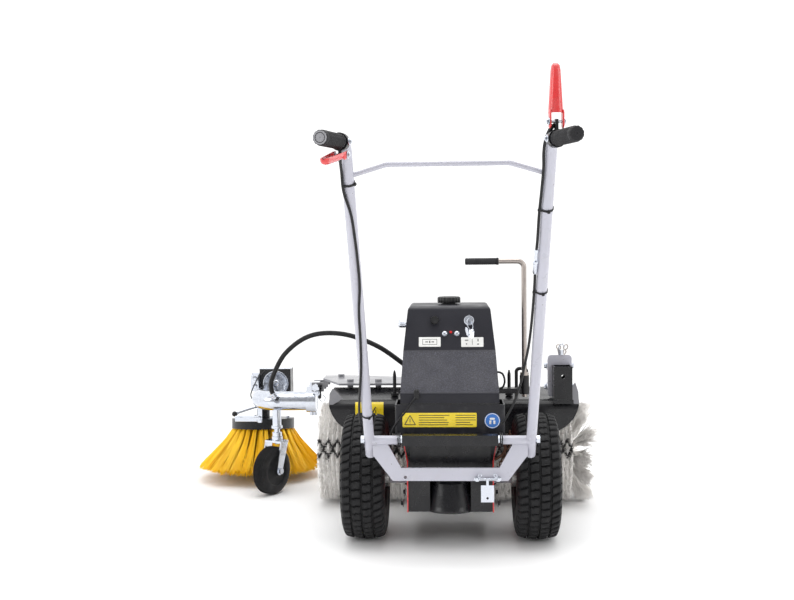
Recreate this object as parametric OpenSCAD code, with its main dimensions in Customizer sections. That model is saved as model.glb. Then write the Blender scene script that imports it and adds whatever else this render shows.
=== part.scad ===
// Walk-behind sweeper: a two-wheeled tractor unit, a folding handle frame, a swivelling brush head
// with a roller brush, and a side brush on a hinged arm that a caster carries.
// The machine frame has +X to the operator's right, +Y forward and +Z up. Its zero is on the floor
// under the middle of the axle; place() then moves all of it to the middle of the whole outline.

/* [Drive wheels] */
// Outside diameter of a drive tyre
tyre_d = 330; // [290:1:390]
// Width of a drive tyre
tyre_w = 116; // [90:1:126]
// Distance between the middles of the two drive tyres
track_w = 450; // [440:1:520]
// Outside diameter of a wheel rim
rim_d = 160; // [140:1:190]
// Diameter of the drive axle
axle_d = 25; // [20:0.5:32]
// Outside diameter of an axle tube
axle_tube_d = 42; // [40:1:50]

/* [Tractor body] */
// Width of the lower body inside its side plates
body_w = 216; // [190:1:230]
// Width of the top of the side plates, inside, where they flare out
flare_w = 236; // [220:1:250]
// Height of the underside of the body above the floor
body_bottom_z = 93; // [80:1:105]
// How far the body reaches behind the axle
body_rear = 105; // [95:1:125]
// How far the body reaches in front of the axle
body_front = 150; // [130:1:165]
// Thickness of the side plates
plate_t = 3; // [2:0.5:5]
// Radius of the bell housing at its lower rim
bell_r = 68; // [55:1:75]

/* [Battery box] */
// Width of the battery box
box_w = 276; // [250:1:290]
// Height of the battery box
box_h = 76; // [60:1:78]
// Length of the battery box, front to rear
box_l = 96; // [80:1:110]

/* [Engine hood] */
// Width of the hood at its lower edge
hood_w = 248; // [236:1:260]
// Width of the hood at its top
hood_top_w = 216; // [196:1:226]
// Height of the top of the hood above the deck
hood_h = 234; // [210:1:270]
// Length of the hood, front to rear
hood_l = 400; // [380:1:440]
// Wall thickness of the hood
hood_wall = 4; // [3:0.5:6]
// Diameter of the fuel cap
cap_d = 64; // [50:1:80]

/* [Handle] */
// Distance between the middles of the two handle tubes
handle_w = 398; // [380:1:420]
// Outside diameter of a handle tube
tube_d = 25; // [22:0.5:28]
// Wall thickness of a handle tube
tube_wall = 2; // [1.5:0.5:3]
// Straight length of a handle tube above its pivot
tube_l = 825; // [700:5:900]
// Angle that the handle leans back from upright
lean = 36.9; // [30:0.1:42]
// Angle that a grip points outwards
splay = 10.5; // [5:1:20]
// Length of a grip
grip_l = 115; // [100:1:130]
// Outside diameter of a grip
grip_d = 31; // [29:1:36]
// Diameter of a pivot bolt
pivot_d = 12; // [10:1:14]
// Length of a hand lever beyond its pivot
lever_l = 110; // [90:1:126]

/* [Brush head] */
// Diameter of the roller brush
roller_d = 300; // [280:1:310]
// Width of the roller brush over both halves
roller_w = 806; // [760:2:900]
// Distance of the roller in front of the axle
roller_y = 400; // [395:1:450]
// Width of the brush hood
cover_w = 716; // [680:2:740]
// How far the head sits to the right of the middle
head_x = 10; // [-20:1:20]
// Distance of the swivel pin in front of the axle
swivel_y = 300; // [290:1:310]
// Diameter of the swivel pin
swivel_d = 30; // [24:1:36]

/* [Side brush] */
// Distance of the side brush to the left of the middle
side_x = 632; // [600:1:700]
// Distance of the side brush in front of the axle
side_y = 715; // [700:1:770]
// Radius of the circle of bristle tips
side_tip_r = 186; // [165:1:190]
// Diameter of the side brush's disc
disc_d = 210; // [180:1:230]
// Forward tilt of the side brush
side_tilt = 6.5; // [3:0.5:8]
// Outside diameter of the arm tube
arm_d = 60; // [50:1:64]
// Diameter of the caster wheel
caster_d = 150; // [130:1:160]
// Outside diameter of the flexible drive shaft
hose_d = 15; // [12:1:18]

/* [Hidden] */
$fn = 48;

// Colours
paint_grey = [0.80, 0.80, 0.84];
paint_red = [0.80, 0.12, 0.12];
paint_black = [0.10, 0.10, 0.11];
charcoal = [0.20, 0.20, 0.22];
rubber = [0.07, 0.07, 0.07];
zinc = [0.78, 0.80, 0.84];
steel = [0.60, 0.58, 0.56];
alloy = [0.70, 0.70, 0.70];

// Clearances
run_gap = 0.05;   // radial, round a shaft that turns
seat_gap = 0.3;   // between faces that only meet
wall = 4;         // of the housings

// Wheels
axle_z = tyre_d / 2;
wheel_x = track_w / 2;
hub_d = 60;
axle_inner_x = 20;
tube_end_x = wheel_x - tyre_w / 2 - 7;

// Body
body_x = body_w / 2;
flare_x = flare_w / 2;
flare_z0 = 225;
flare_z1 = 276;
body_top_z = 300;
axle_tube_r = axle_tube_d / 2;
bell_y = -(axle_d / 2 + 48.5);
bell_h = 78;
box_rear_y = -150;
box_z = body_top_z + seat_gap;
deck_t = 4;
deck_z = box_z + box_h + seat_gap;
hood_z = deck_z + deck_t;
hood_top_z = hood_z + hood_h;
hood_rear_y = -150;
hood_front_y = hood_rear_y + hood_l;
cap_y = 100;

// Handle
handle_x = handle_w / 2;
pivot_y = -200;
pivot_z = 297;
tube_r = tube_d / 2;
pivot_r = pivot_d / 2;
tube_foot = -52;
sleeve_d = 22;
sleeve_x = 130;
mount_bar = 26;
mount_x = 118;
yoke_t = 8;
yoke_y = pivot_y + 4;
yoke_z0 = 195;
yoke_h = 32;
cross_t = tube_l - 54;
cross_rise = 23;
cross_d = 10;
cross_mid_x = 122;
bend_r = 45;
grip_gap = 22;
grip_r = grip_d / 2;
up_dir = [0, -sin(lean), cos(lean)];

// Brush head
roller_z = roller_d / 2;
core_d = 90;
head_half = 20;
bristle_gap = 4;
cover_rear_y = 206;
cover_front_y = roller_y + 200;
cover_top_z = roller_d + 50;
cover_low_z = 238;
cover_t = 4;
cover_corner = 98;
pad_z = cover_top_z + 1;
beam_t = 24;
beam_z = pad_z + 4.3;
bristle_x1 = head_x + roller_w / 2;

// Side arm
arm_y = 492;
arm_z = 290;
arm_r = arm_d / 2;
hinge_x = -416;
hinge_z = 338;
hinge_d = 14;
arm_turn_x = -(side_x - 26);
elbow_r = 62;
stem_x = -547;
caster_yaw = -28;
caster_trail = 30;
crown_t = 6;
king_r = 5;
disc_z = 165;
disc_t = 33;
tip_clear = 1;
tip_drop = (disc_z - side_tip_r * sin(side_tilt) - tip_clear) / cos(side_tilt);

function unit(v) = v / norm(v);
function side_of(s) = s < 0 ? -1 : 1;

// A point of the handle on its left (s = -1) or right (s = 1) tube: t along it from the pivot,
// across towards the right, and out behind it
function on_tube(s, t, across = 0, out = 0) =
  [
    s * handle_x + across,
    pivot_y - t * sin(lean) - out * cos(lean),
    pivot_z + t * cos(lean) - out * sin(lean)
  ];

grip_dip = 2;
function grip_dir(s) = [s * sin(splay) * cos(grip_dip), -cos(splay) * cos(grip_dip), -sin(grip_dip)];
function bend_angle(s) = acos(up_dir * grip_dir(s));
function bend_in(s) = unit(grip_dir(s) - (up_dir * grip_dir(s)) * up_dir);
function bend_centre(s) = on_tube(s, tube_l) + bend_r * bend_in(s);
function bend_end(s) = bend_centre(s)
  - bend_r * (cos(bend_angle(s)) * bend_in(s) - sin(bend_angle(s)) * up_dir);
function grip_end(s) = bend_end(s) + (grip_gap + grip_l) * grip_dir(s);

// The outline of the whole machine, which sets where place() puts it
reach_y0 = grip_end(1)[1] - grip_r * sqrt(1 - pow(grip_dir(1)[1], 2));
reach_y1 = side_y + side_tip_r * cos(side_tilt) - tip_drop * sin(side_tilt);
reach_x0 = -side_x - side_tip_r;
reach_x1 = bristle_x1;
centre_x = (reach_x0 + reach_x1) / 2;
centre_y = (reach_y0 + reach_y1) / 2;

module place() {
  translate([-centre_x, -centre_y, 0])
    children();
}

// A round bar from one point to another
module rod(a, b, r) {
  v = b - a;
  translate(a)
    rotate([0, acos(v[2] / norm(v)), atan2(v[1], v[0])])
      cylinder(h = norm(v), r = r);
}

// A hexagon head or nut from one point towards another
module hex(a, b, across) {
  v = b - a;
  translate(a)
    rotate([0, acos(v[2] / norm(v)), atan2(v[1], v[0])])
      cylinder(h = norm(v), r = across / sqrt(3), $fn = 6);
}

// The quarter of a ring that turns a bar from direction d1 to d2, starting at p
module bend(p, d1, d2, ring_r, r) {
  into = unit(d2 - (d1 * d2) * d1);
  side = cross(-into, d1);
  c = p + ring_r * into;
  multmatrix([
    [-into[0], d1[0], side[0], c[0]],
    [-into[1], d1[1], side[1], c[1]],
    [-into[2], d1[2], side[2], c[2]],
    [0, 0, 0, 1]
  ])
    rotate_extrude(angle = acos(d1 * d2))
      translate([ring_r, 0])
        circle(r = r);
}

// A bar bent round through a list of corner points. Its bends are step thicker than its straights,
// which reach lap into them, so that the pieces join cleanly
bend_step = 0.25;
bend_lap = 2;
module bent_bar(pts, ring_r, r) {
  n = len(pts);
  dirs = [for (i = [0 : n - 2]) unit(pts[i + 1] - pts[i])];
  cut = [for (i = [0 : n - 1])
    (i == 0 || i == n - 1) ? 0 : ring_r * tan(acos(dirs[i - 1] * dirs[i]) / 2)];
  for (i = [0 : n - 2]) {
    lap0 = i == 0 ? 0 : bend_lap;
    lap1 = i == n - 2 ? 0 : bend_lap;
    rod(pts[i] + (cut[i] - lap0) * dirs[i], pts[i + 1] - (cut[i + 1] - lap1) * dirs[i], r);
  }
  for (i = [1 : n - 2])
    bend(pts[i] - cut[i] * dirs[i - 1], dirs[i - 1], dirs[i], ring_r, r + bend_step);
}

// One point of a smooth curve through p1 and p2, with neighbours p0 and p3
function curve_at(p0, p1, p2, p3, u) =
  0.5 * (2 * p1 + (p2 - p0) * u + (2 * p0 - 5 * p1 + 4 * p2 - p3) * u * u
    + (3 * p1 - p0 - 3 * p2 + p3) * u * u * u);

// The smooth curve through a list of points, with steps rings to each stretch
function smooth(pts, steps) = [
  for (i = [0 : len(pts) - 2])
    for (j = [0 : steps - (i == len(pts) - 2 ? 0 : 1)])
      curve_at(pts[max(0, i - 1)], pts[i], pts[i + 1], pts[min(len(pts) - 1, i + 2)], j / steps)
];

// A round tube swept along a list of points
module swept(line, r, sides, ref) {
  n = len(line);
  rings = [
    for (i = [0 : n - 1])
      let (t = unit(line[min(n - 1, i + 1)] - line[max(0, i - 1)]))
      let (u = unit(cross(ref, t)))
      let (v = cross(t, u))
      for (k = [0 : sides - 1])
        line[i] + r * (cos(360 * k / sides) * u + sin(360 * k / sides) * v)
  ];
  walls = [
    for (i = [0 : n - 2])
      for (k = [0 : sides - 1])
        [i * sides + k, (i + 1) * sides + k, (i + 1) * sides + (k + 1) % sides,
          i * sides + (k + 1) % sides]
  ];
  first = [for (k = [0 : sides - 1]) k];
  last = [for (k = [sides - 1 : -1 : 0]) (n - 1) * sides + k];
  polyhedron(points = rings, faces = concat(walls, [first, last]), convexity = 6);
}

// A flat plate whose outline is drawn in X and Z, from y0 to y1
module plate_xz(y0, y1) {
  translate([0, y1, 0])
    rotate([90, 0, 0])
      linear_extrude(y1 - y0)
        children();
}

// A flat plate whose outline is drawn in Y and Z, from x0 to x1
module plate_yz(x0, x1) {
  translate([x0, 0, 0])
    rotate([90, 0, 90])
      linear_extrude(x1 - x0)
        children();
}

module both_sides() {
  children();
  mirror([1, 0, 0])
    children();
}

// ---------------------------------------------------------------- tractor body

module side_plates() {
  low_bend = [body_x, flare_z0];
  color(paint_red)
    both_sides()
      difference() {
        plate_xz(-body_rear - 6, body_front)
          polygon([
            [body_x, body_bottom_z], [body_x + plate_t, body_bottom_z],
            [body_x + plate_t, flare_z0], [flare_x + plate_t, flare_z1],
            [flare_x + plate_t, body_top_z], [flare_x, body_top_z],
            [flare_x, flare_z1], low_bend
          ]);
        rod([body_x - 1, 0, axle_z], [body_x + plate_t + 1, 0, axle_z], axle_tube_r + run_gap);
      }
}

module rear_housing() {
  color(paint_black)
    difference() {
      plate_xz(-body_rear, body_front)
        polygon([
          [-body_x, body_bottom_z], [body_x, body_bottom_z], [body_x, flare_z0],
          [flare_x, flare_z1], [flare_x, body_top_z - wall], [-flare_x, body_top_z - wall],
          [-flare_x, flare_z1], [-body_x, flare_z0]
        ]);
      plate_xz(-body_rear + wall, body_front - wall)
        polygon([
          [-body_x + wall, body_bottom_z + wall], [body_x - wall, body_bottom_z + wall],
          [body_x - wall, flare_z0 + 2], [flare_x - wall, flare_z1 + 2],
          [flare_x - wall, body_top_z], [-flare_x + wall, body_top_z],
          [-flare_x + wall, flare_z1 + 2], [-body_x + wall, flare_z0 + 2]
        ]);
      rod([-body_x - 30, 0, axle_z], [body_x + 30, 0, axle_z], axle_tube_r + run_gap);
      translate([0, bell_y, body_bottom_z - 1])
        cylinder(h = bell_h + 3 + seat_gap, r = bell_r + seat_gap);
    }
}

module bell_housing() {
  color(charcoal)
    translate([0, bell_y, body_bottom_z])
      rotate_extrude()
        polygon([
          [0, bell_h], [bell_r - 24, bell_h], [bell_r - 16, bell_h - 6],
          [bell_r - 9, bell_h * 0.55], [bell_r - 3, 14], [bell_r, 5], [bell_r, 0],
          [bell_r - 5, 0], [bell_r - 9, 10], [bell_r - 14, bell_h * 0.5],
          [bell_r - 22, bell_h - 12], [0, bell_h - 6]
        ]);
}

module gearbox() {
  case_x = 70;
  case_y0 = bell_y + bell_r + 3;
  case_y1 = body_front - 14;
  color(paint_grey)
    difference() {
      union() {
        translate([-case_x, case_y0, body_bottom_z + wall + seat_gap])
          cube([2 * case_x, case_y1 - case_y0, 150]);
        translate([-case_x, -axle_tube_r - 2, bell_h + body_bottom_z + 6])
          cube([2 * case_x, axle_tube_r + case_y0 + 3, 64]);
        both_sides()
          rod([case_x - 5, 0, axle_z], [tube_end_x, 0, axle_z], axle_tube_r);
      }
      rod([-tube_end_x - 1, 0, axle_z], [tube_end_x + 1, 0, axle_z], axle_d / 2 + run_gap);
    }
}

module handle_mount() {
  bar_y0 = pivot_y - mount_bar / 2;
  color(paint_black) {
    difference() {
      union() {
        translate([-mount_x, bar_y0, pivot_z - mount_bar / 2])
          cube([2 * mount_x, mount_bar, mount_bar]);
        both_sides()
          translate([mount_x - 22, bar_y0 + mount_bar - 1, pivot_z - mount_bar / 2])
            cube([12, -body_rear - bar_y0 - mount_bar + 1, mount_bar - 10 - seat_gap]);
      }
      both_sides()
        rod([mount_x - 40, pivot_y, pivot_z], [mount_x + 1, pivot_y, pivot_z], pivot_r);
    }
    translate([-body_x + 6, box_rear_y + 20, flare_z0 + 2])
      cube([body_w - 12, -body_rear - box_rear_y - 20, pivot_z - mount_bar / 2 - flare_z0 - 3]);
  }
}

module pivot_bolts() {
  head_x0 = handle_x + tube_r + seat_gap;
  color(zinc)
    both_sides() {
      rod([mount_x - 40, pivot_y, pivot_z], [head_x0, pivot_y, pivot_z], pivot_r);
      hex([head_x0, pivot_y, pivot_z], [head_x0 + 8, pivot_y, pivot_z], 19);
      difference() {
        union() {
          hex([mount_x, pivot_y, pivot_z], [mount_x + 9, pivot_y, pivot_z], 19);
          rod([mount_x + 9, pivot_y, pivot_z], [sleeve_x - seat_gap, pivot_y, pivot_z], 12);
        }
        rod([mount_x - 1, pivot_y, pivot_z], [sleeve_x + 1, pivot_y, pivot_z], pivot_r);
      }
    }
}

module deck_plate() {
  color(paint_black) {
    difference() {
      translate([-hood_w / 2, hood_rear_y, deck_z])
        cube([hood_w, hood_l, deck_t]);
      translate([-60, 20, deck_z - 1])
        cube([120, 100, deck_t + 2]);
    }
    both_sides()
      translate([body_x - 24, box_rear_y + box_l + 6, body_top_z + seat_gap])
        cube([18, body_front - 42 - (box_rear_y + box_l + 6), deck_z - body_top_z - seat_gap]);
  }
}

module battery_box() {
  r = 8;
  color(charcoal)
    translate([0, box_rear_y, box_z])
      difference() {
        translate([-box_w / 2, 0, 0])
          linear_extrude(box_h)
            translate([r, r])
              offset(r = r)
                square([box_w - 2 * r, box_l - 2 * r]);
        translate([-box_w / 2 + wall, wall, wall])
          cube([box_w - 2 * wall, box_l - 2 * wall, box_h]);
      }
}

module battery() {
  color([0.15, 0.18, 0.30])
    translate([0, box_rear_y + box_l / 2, box_z + wall]) {
      translate([-70, -32, 0])
        cube([140, 64, box_h - 18]);
      for (x = [-50, 50])
        translate([x, 12, box_h - 18])
          cylinder(h = 8, r = 6);
    }
}

fin_n = 7;
engine_h = 106 + fin_n * 6;
module engine_block() {
  color(alloy) {
    translate([-72, 30, hood_z])
      cube([144, 130, 26]);
    translate([0, 95, hood_z + 26])
      cylinder(h = 60, r = 62);
    translate([-40, 70, hood_z + 86])
      cube([80, 70, 20]);
    for (i = [0 : fin_n - 1])
      translate([-46, 65, hood_z + 106 + i * 6])
        cube([92, 76, 3]);
    translate([-30, 75, hood_z + 106])
      cube([60, 56, fin_n * 6]);
  }
}

module fuel_tank() {
  tank_z = hood_z + engine_h + seat_gap;
  tank_h = hood_top_z - hood_wall - 16 - tank_z;
  color(paint_black)
    difference() {
      union() {
        translate([-82, 30, tank_z])
          cube([164, 150, tank_h]);
        translate([0, cap_y, tank_z + tank_h - 1])
          cylinder(h = hood_top_z + 3 - tank_z - tank_h, r = 22);
      }
      translate([0, cap_y, tank_z + 8])
        cylinder(h = 2 * tank_h, r = 18);
    }
}

// The outline of the engine hood seen from the side, with its sloped back and instrument panel
module hood_side(inset) {
  edge_r = 9;
  top = hood_h;
  offset(delta = -inset)
    offset(r = edge_r)
      offset(delta = -edge_r)
        polygon([
          [hood_rear_y, -40], [hood_rear_y, 26], [hood_rear_y + 10, 30],
          [hood_rear_y + 110, top - 112], [hood_rear_y + 150, top - 4], [hood_rear_y + 172, top],
          [hood_front_y - 70, top], [hood_front_y - 12, top - 70], [hood_front_y, 60],
          [hood_front_y, -40]
        ]);
}

// The outline of the engine hood seen from behind
module hood_back(inset) {
  edge_r = 12;
  offset(delta = -inset)
    offset(r = edge_r)
      offset(delta = -edge_r)
        polygon([
          [-hood_w / 2, -40], [-hood_w / 2, 30], [-hood_w / 2 + 4, hood_h - 112],
          [-hood_top_w / 2, hood_h], [hood_top_w / 2, hood_h],
          [hood_w / 2 - 4, hood_h - 112], [hood_w / 2, 30], [hood_w / 2, -40]
        ]);
}

module hood_solid(inset) {
  intersection() {
    plate_yz(-hood_w, hood_w)
      hood_side(inset);
    plate_xz(hood_rear_y - 10, hood_front_y + 10)
      hood_back(inset);
    translate([-hood_w, hood_rear_y - 10, inset > 0 ? -1 : 0])
      cube([2 * hood_w, hood_l + 20, hood_h + 2]);
  }
}

module engine_hood() {
  color(charcoal)
    translate([0, 0, hood_z + seat_gap])
      difference() {
        hood_solid(0);
        hood_solid(hood_wall);
        translate([0, cap_y, hood_h - 20])
          cylinder(h = 40, r = 24);
        rod(panel_at(-38, 78) + 2 * panel_out, panel_at(-38, 78) - 20 * panel_out, 5);
        rod(panel_at(52, 78) + 2 * panel_out, panel_at(52, 78) - 20 * panel_out, 9);
      }
}

// The instrument panel: a point on it, x across and up from its lower edge, and its outward normal
panel_low = [0, hood_rear_y + 110, hood_h - 112];
panel_up = unit([0, 40, 108]);
panel_out = [0, -panel_up[2], panel_up[1]];
function panel_at(x, up) = [x, 0, 0] + panel_low + up * panel_up;

// Half the hood's width at a height above its lower edge, on its tapered upper part
function hood_half(h) =
  hood_w / 2 - 4 + (hood_top_w / 2 - hood_w / 2 + 4) * (h - hood_h + 112) / 112;
knob_h = hood_h - 44;

module panel_fittings() {
  color(zinc)
    translate([0, 0, hood_z + seat_gap]) {
      difference() {
        union() {
          rod(panel_at(52, 78) - 14 * panel_out, panel_at(52, 78) + 5 * panel_out, 8.9);
          rod(panel_at(52, 78) + 0.3 * panel_out, panel_at(52, 78) + 4 * panel_out, 13);
        }
        rod(panel_at(52, 78) - 6 * panel_out, panel_at(52, 78) + 6 * panel_out, 3 + run_gap);
      }
      for (x = [-12, 20])
        rod(panel_at(x, 44) + 0.1 * panel_out, panel_at(x, 44) + 5 * panel_out, 6);
      rod([-hood_half(knob_h) - seat_gap, -20, knob_h], [-hood_half(knob_h) - 20, -20, knob_h], 8);
    }
}

module key() {
  color(zinc)
    translate([0, 0, hood_z + seat_gap]) {
      rod(panel_at(52, 78) - 5 * panel_out, panel_at(52, 78) + 16 * panel_out, 3);
      multmatrix([
        [1, 0, 0, panel_at(52, 78)[0]],
        [0, panel_up[1], panel_out[1], panel_at(52, 78)[1]],
        [0, panel_up[2], panel_out[2], panel_at(52, 78)[2]],
        [0, 0, 0, 1]
      ])
        translate([-1.5, -9, 8])
          cube([3, 18, 20]);
    }
}

module choke_knob() {
  color(paint_black)
    translate([0, 0, hood_z + seat_gap]) {
      rod(panel_at(-38, 78) - 30 * panel_out, panel_at(-38, 78) + 6 * panel_out, 5 - seat_gap);
      rod(panel_at(-38, 78) + 1 * panel_out, panel_at(-38, 78) + 15 * panel_out, 12);
    }
}

module fuel_cap() {
  color(paint_black)
    translate([0, cap_y, hood_top_z + seat_gap]) {
      translate([0, 0, 4 + seat_gap])
        cylinder(h = 17, r = cap_d / 2);
      translate([0, 0, -12])
        cylinder(h = 18, r = 18 - run_gap);
    }
}

module nose_beam() {
  color(paint_black)
    difference() {
      union() {
        translate([-32, body_front - 20, beam_z])
          cube([64, swivel_y - body_front + 20, beam_t - 4]);
        translate([0, swivel_y, beam_z])
          cylinder(h = beam_t, r = 34);
        translate([-body_x + 10, body_front - 40, deck_z - 22])
          cube([body_w - 20, 24, 22 - seat_gap]);
      }
      translate([0, swivel_y, beam_z - 1])
        cylinder(h = beam_t + 2, r = swivel_d / 2 + run_gap);
    }
}

lever_x = 208;
lever_y = 150;
lever_d = 14;
lever_foot_z = 352;
lever_top_z = 730;

module lever_bush() {
  color(paint_black)
    difference() {
      union() {
        translate([lever_x, lever_y, lever_foot_z + 8])
          cylinder(h = 52, r = 13);
        translate([60, lever_y - 10, deck_z - seat_gap - 14])
          cube([lever_x - 60, 20, 14]);
      }
      translate([lever_x, lever_y, 0])
        cylinder(h = 900, r = lever_d / 2 + run_gap);
    }
}

module swivel_rod() {
  color(steel) {
    bent_bar([
      [lever_x, lever_y, lever_foot_z], [lever_x, lever_y, lever_top_z],
      [lever_x - 160, lever_y, lever_top_z]
    ], 18, lever_d / 2);
    translate([lever_x, lever_y, lever_foot_z + 60 + seat_gap])
      difference() {
        cylinder(h = 8, r = 12);
        translate([0, 0, -1])
          cylinder(h = 10, r = lever_d / 2);
      }
  }
}

module swivel_grip() {
  color(rubber)
    difference() {
      rod([lever_x - 70, lever_y, lever_top_z], [lever_x - 163, lever_y, lever_top_z], 10.5);
      rod([lever_x - 69, lever_y, lever_top_z], [lever_x - 160, lever_y, lever_top_z], lever_d / 2);
    }
}

// ---------------------------------------------------------------- drive wheels

// Half-round-shouldered section of a tyre: r across the wheel, z along its axle
module tyre_section(outer_r, inner_r, w) {
  mid = (outer_r + inner_r) / 2;
  half = (outer_r - inner_r) / 2;
  power = 0.55;
  polygon([
    for (a = [0 : 12 : 348])
      let (c = cos(a))
      let (s = sin(a))
      [
        max(inner_r, mid + half * side_of(c) * pow(abs(c), power)),
        w / 2 * side_of(s) * pow(abs(s), power) * (c < 0 ? 0.86 : 1)
      ]
  ]);
}

module tyre(s) {
  color(rubber)
    translate([s * wheel_x, 0, axle_z])
      rotate([0, 90, 0])
        difference() {
          rotate_extrude()
            tyre_section(tyre_d / 2, rim_d / 2, tyre_w);
          for (x = [-26, 0, 26])
            translate([0, 0, x - 3])
              difference() {
                cylinder(h = 6, r = tyre_d / 2 + 1);
                translate([0, 0, -1])
                  cylinder(h = 8, r = tyre_d / 2 - 6);
              }
        }
}

module rim(s) {
  r = rim_d / 2;
  half = tyre_w * 0.40;
  color(alloy)
    translate([s * wheel_x, 0, axle_z])
      rotate([0, s * 90, 0])
        rotate_extrude()
          polygon([
            [hub_d / 2, 6], [hub_d / 2, 0], [r - 22, 0], [r - 10, -half + 4], [r - 4, -half],
            [r, -half], [r, half], [r - 4, half], [r - 12, half - 6], [r - 24, 6]
          ]);
}

module axle(s) {
  color(steel)
    translate([s * wheel_x, 0, axle_z])
      rotate([0, s * 90, 0])
        union() {
          translate([0, 0, axle_inner_x - wheel_x])
            cylinder(h = wheel_x - axle_inner_x + 20, r = axle_d / 2);
          translate([0, 0, -tyre_w / 2 - 5])
            cylinder(h = tyre_w / 2 + 35, r = hub_d / 2);
          translate([0, 0, 30])
            cylinder(h = 10, r = 11, $fn = 6);
        }
}

module left_tyre() { tyre(-1); }
module right_tyre() { tyre(1); }
module left_rim() { rim(-1); }
module right_rim() { rim(1); }
module left_axle() { axle(-1); }
module right_axle() { axle(1); }

// ---------------------------------------------------------------- handle

module tube_line(s, r, over) {
  corner = on_tube(s, tube_l + bend_r * tan(bend_angle(s) / 2));
  bent_bar([
    on_tube(s, tube_foot - over), corner,
    bend_end(s) + (grip_gap + grip_l - 8 + over) * grip_dir(s)
  ], bend_r, r);
}

module handle_tube(s) {
  color(paint_grey)
    difference() {
      union() {
        tube_line(s, tube_r, 0);
        rod([s * sleeve_x, pivot_y, pivot_z], [s * handle_x, pivot_y, pivot_z], sleeve_d / 2);
      }
      tube_line(s, tube_r - tube_wall, 1);
      rod([s * (sleeve_x - 1), pivot_y, pivot_z], [s * (handle_x + tube_r + 1), pivot_y, pivot_z],
        pivot_r + run_gap);
    }
}

module left_handle_tube() { handle_tube(-1); }
module right_handle_tube() { handle_tube(1); }

module handle_crossbar() {
  base = on_tube(0, cross_t);
  color(paint_grey)
    difference() {
      bent_bar([
        base + [-handle_x, 0, 0], base + [-cross_mid_x, 0, cross_rise],
        base + [cross_mid_x, 0, cross_rise], base + [handle_x, 0, 0]
      ], 30, cross_d / 2);
      for (s = [-1, 1])
        rod(on_tube(s, cross_t - 60), on_tube(s, cross_t + 60), tube_r + run_gap);
    }
}

latch_x = 91;
module lower_yoke() {
  foot_x = handle_x - tube_r;
  color(paint_grey)
    difference() {
      union() {
        plate_xz(yoke_y - yoke_t / 2, yoke_y + yoke_t / 2)
          polygon([
            [-142, yoke_z0], [142, yoke_z0], [foot_x + 4, pivot_z - 38], [foot_x + 4, pivot_z - 8],
            [155, pivot_z - 8], [121, yoke_z0 + yoke_h], [-121, yoke_z0 + yoke_h],
            [-155, pivot_z - 8], [-foot_x - 4, pivot_z - 8], [-foot_x - 4, pivot_z - 38]
          ]);
        for (x = [latch_x - 24, latch_x + 21])
          translate([x, yoke_y - yoke_t / 2 - 12, yoke_z0 + 1])
            cube([3, 12, 12]);
      }
      for (s = [-1, 1]) {
        rod(on_tube(s, tube_foot - 20), on_tube(s, 60), tube_r + run_gap);
        rod([s * (sleeve_x - 1), pivot_y, pivot_z], [s * handle_x, pivot_y, pivot_z],
          sleeve_d / 2 + run_gap);
      }
      rod([-111, yoke_y - 10, yoke_z0 + 9], [-111, yoke_y + 10, yoke_z0 + 9], 4);
      rod([latch_x - 30, yoke_y - yoke_t / 2 - 7, yoke_z0 + 6],
        [latch_x + 30, yoke_y - yoke_t / 2 - 7, yoke_z0 + 6], 3 + run_gap);
    }
}

module latch_pedal() {
  pin_y = yoke_y - yoke_t / 2 - 7;
  pin_z = yoke_z0 + 6;
  color(zinc) {
    rod([latch_x - 25, pin_y, pin_z], [latch_x + 25, pin_y, pin_z], 3);
    translate([latch_x - 3, pin_y - 3, pin_z - 16])
      cube([6, 6, 14]);
    translate([latch_x, pin_y - 1.5, pin_z - 57])
      difference() {
        translate([-16, 0, 0])
          cube([32, 3, 42]);
        rod([0, -1, 10], [0, 4, 10], 3);
      }
  }
}

module grip(s) {
  start = bend_end(s) + grip_gap * grip_dir(s);
  color(rubber)
    difference() {
      union() {
        rod(start, grip_end(s), grip_r);
        rod(start, start + 5 * grip_dir(s), grip_r + 3);
      }
      rod(start - grip_dir(s), start + (grip_l - 8) * grip_dir(s), tube_r + run_gap);
    }
}

module left_grip() { grip(-1); }
module right_grip() { grip(1); }

// The hand levers: the left one hangs under its grip, and the right one stands upright
lever_drop = -25;
lever_rise = 32;
function lever_pivot(s) = bend_end(s) + 9 * grip_dir(s) + [0, 0, s < 0 ? lever_drop : lever_rise];
function pin_dir(s) = [cos(splay), s * sin(splay), 0];
left_lever_dip = 12;

module lever_brackets() {
  color(paint_black)
    for (s = [-1, 1]) {
      mid = bend_end(s) + 9 * grip_dir(s);
      ear_z = s < 0 ? lever_drop : lever_rise;
      difference() {
        union() {
          rod(mid - 8 * grip_dir(s), mid + 8 * grip_dir(s), tube_r + 5);
          translate(mid)
            rotate([0, 0, s * splay])
              translate([-3, -4.5, min(0, ear_z)])
                cube([6, 9, abs(ear_z)]);
          rod(lever_pivot(s) - 3 * pin_dir(s), lever_pivot(s) + 3 * pin_dir(s), 5);
        }
        rod(mid - 20 * grip_dir(s), mid + 20 * grip_dir(s), tube_r + run_gap);
        rod(lever_pivot(s) - 20 * pin_dir(s), lever_pivot(s) + 20 * pin_dir(s), 3 + run_gap);
      }
    }
}

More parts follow.
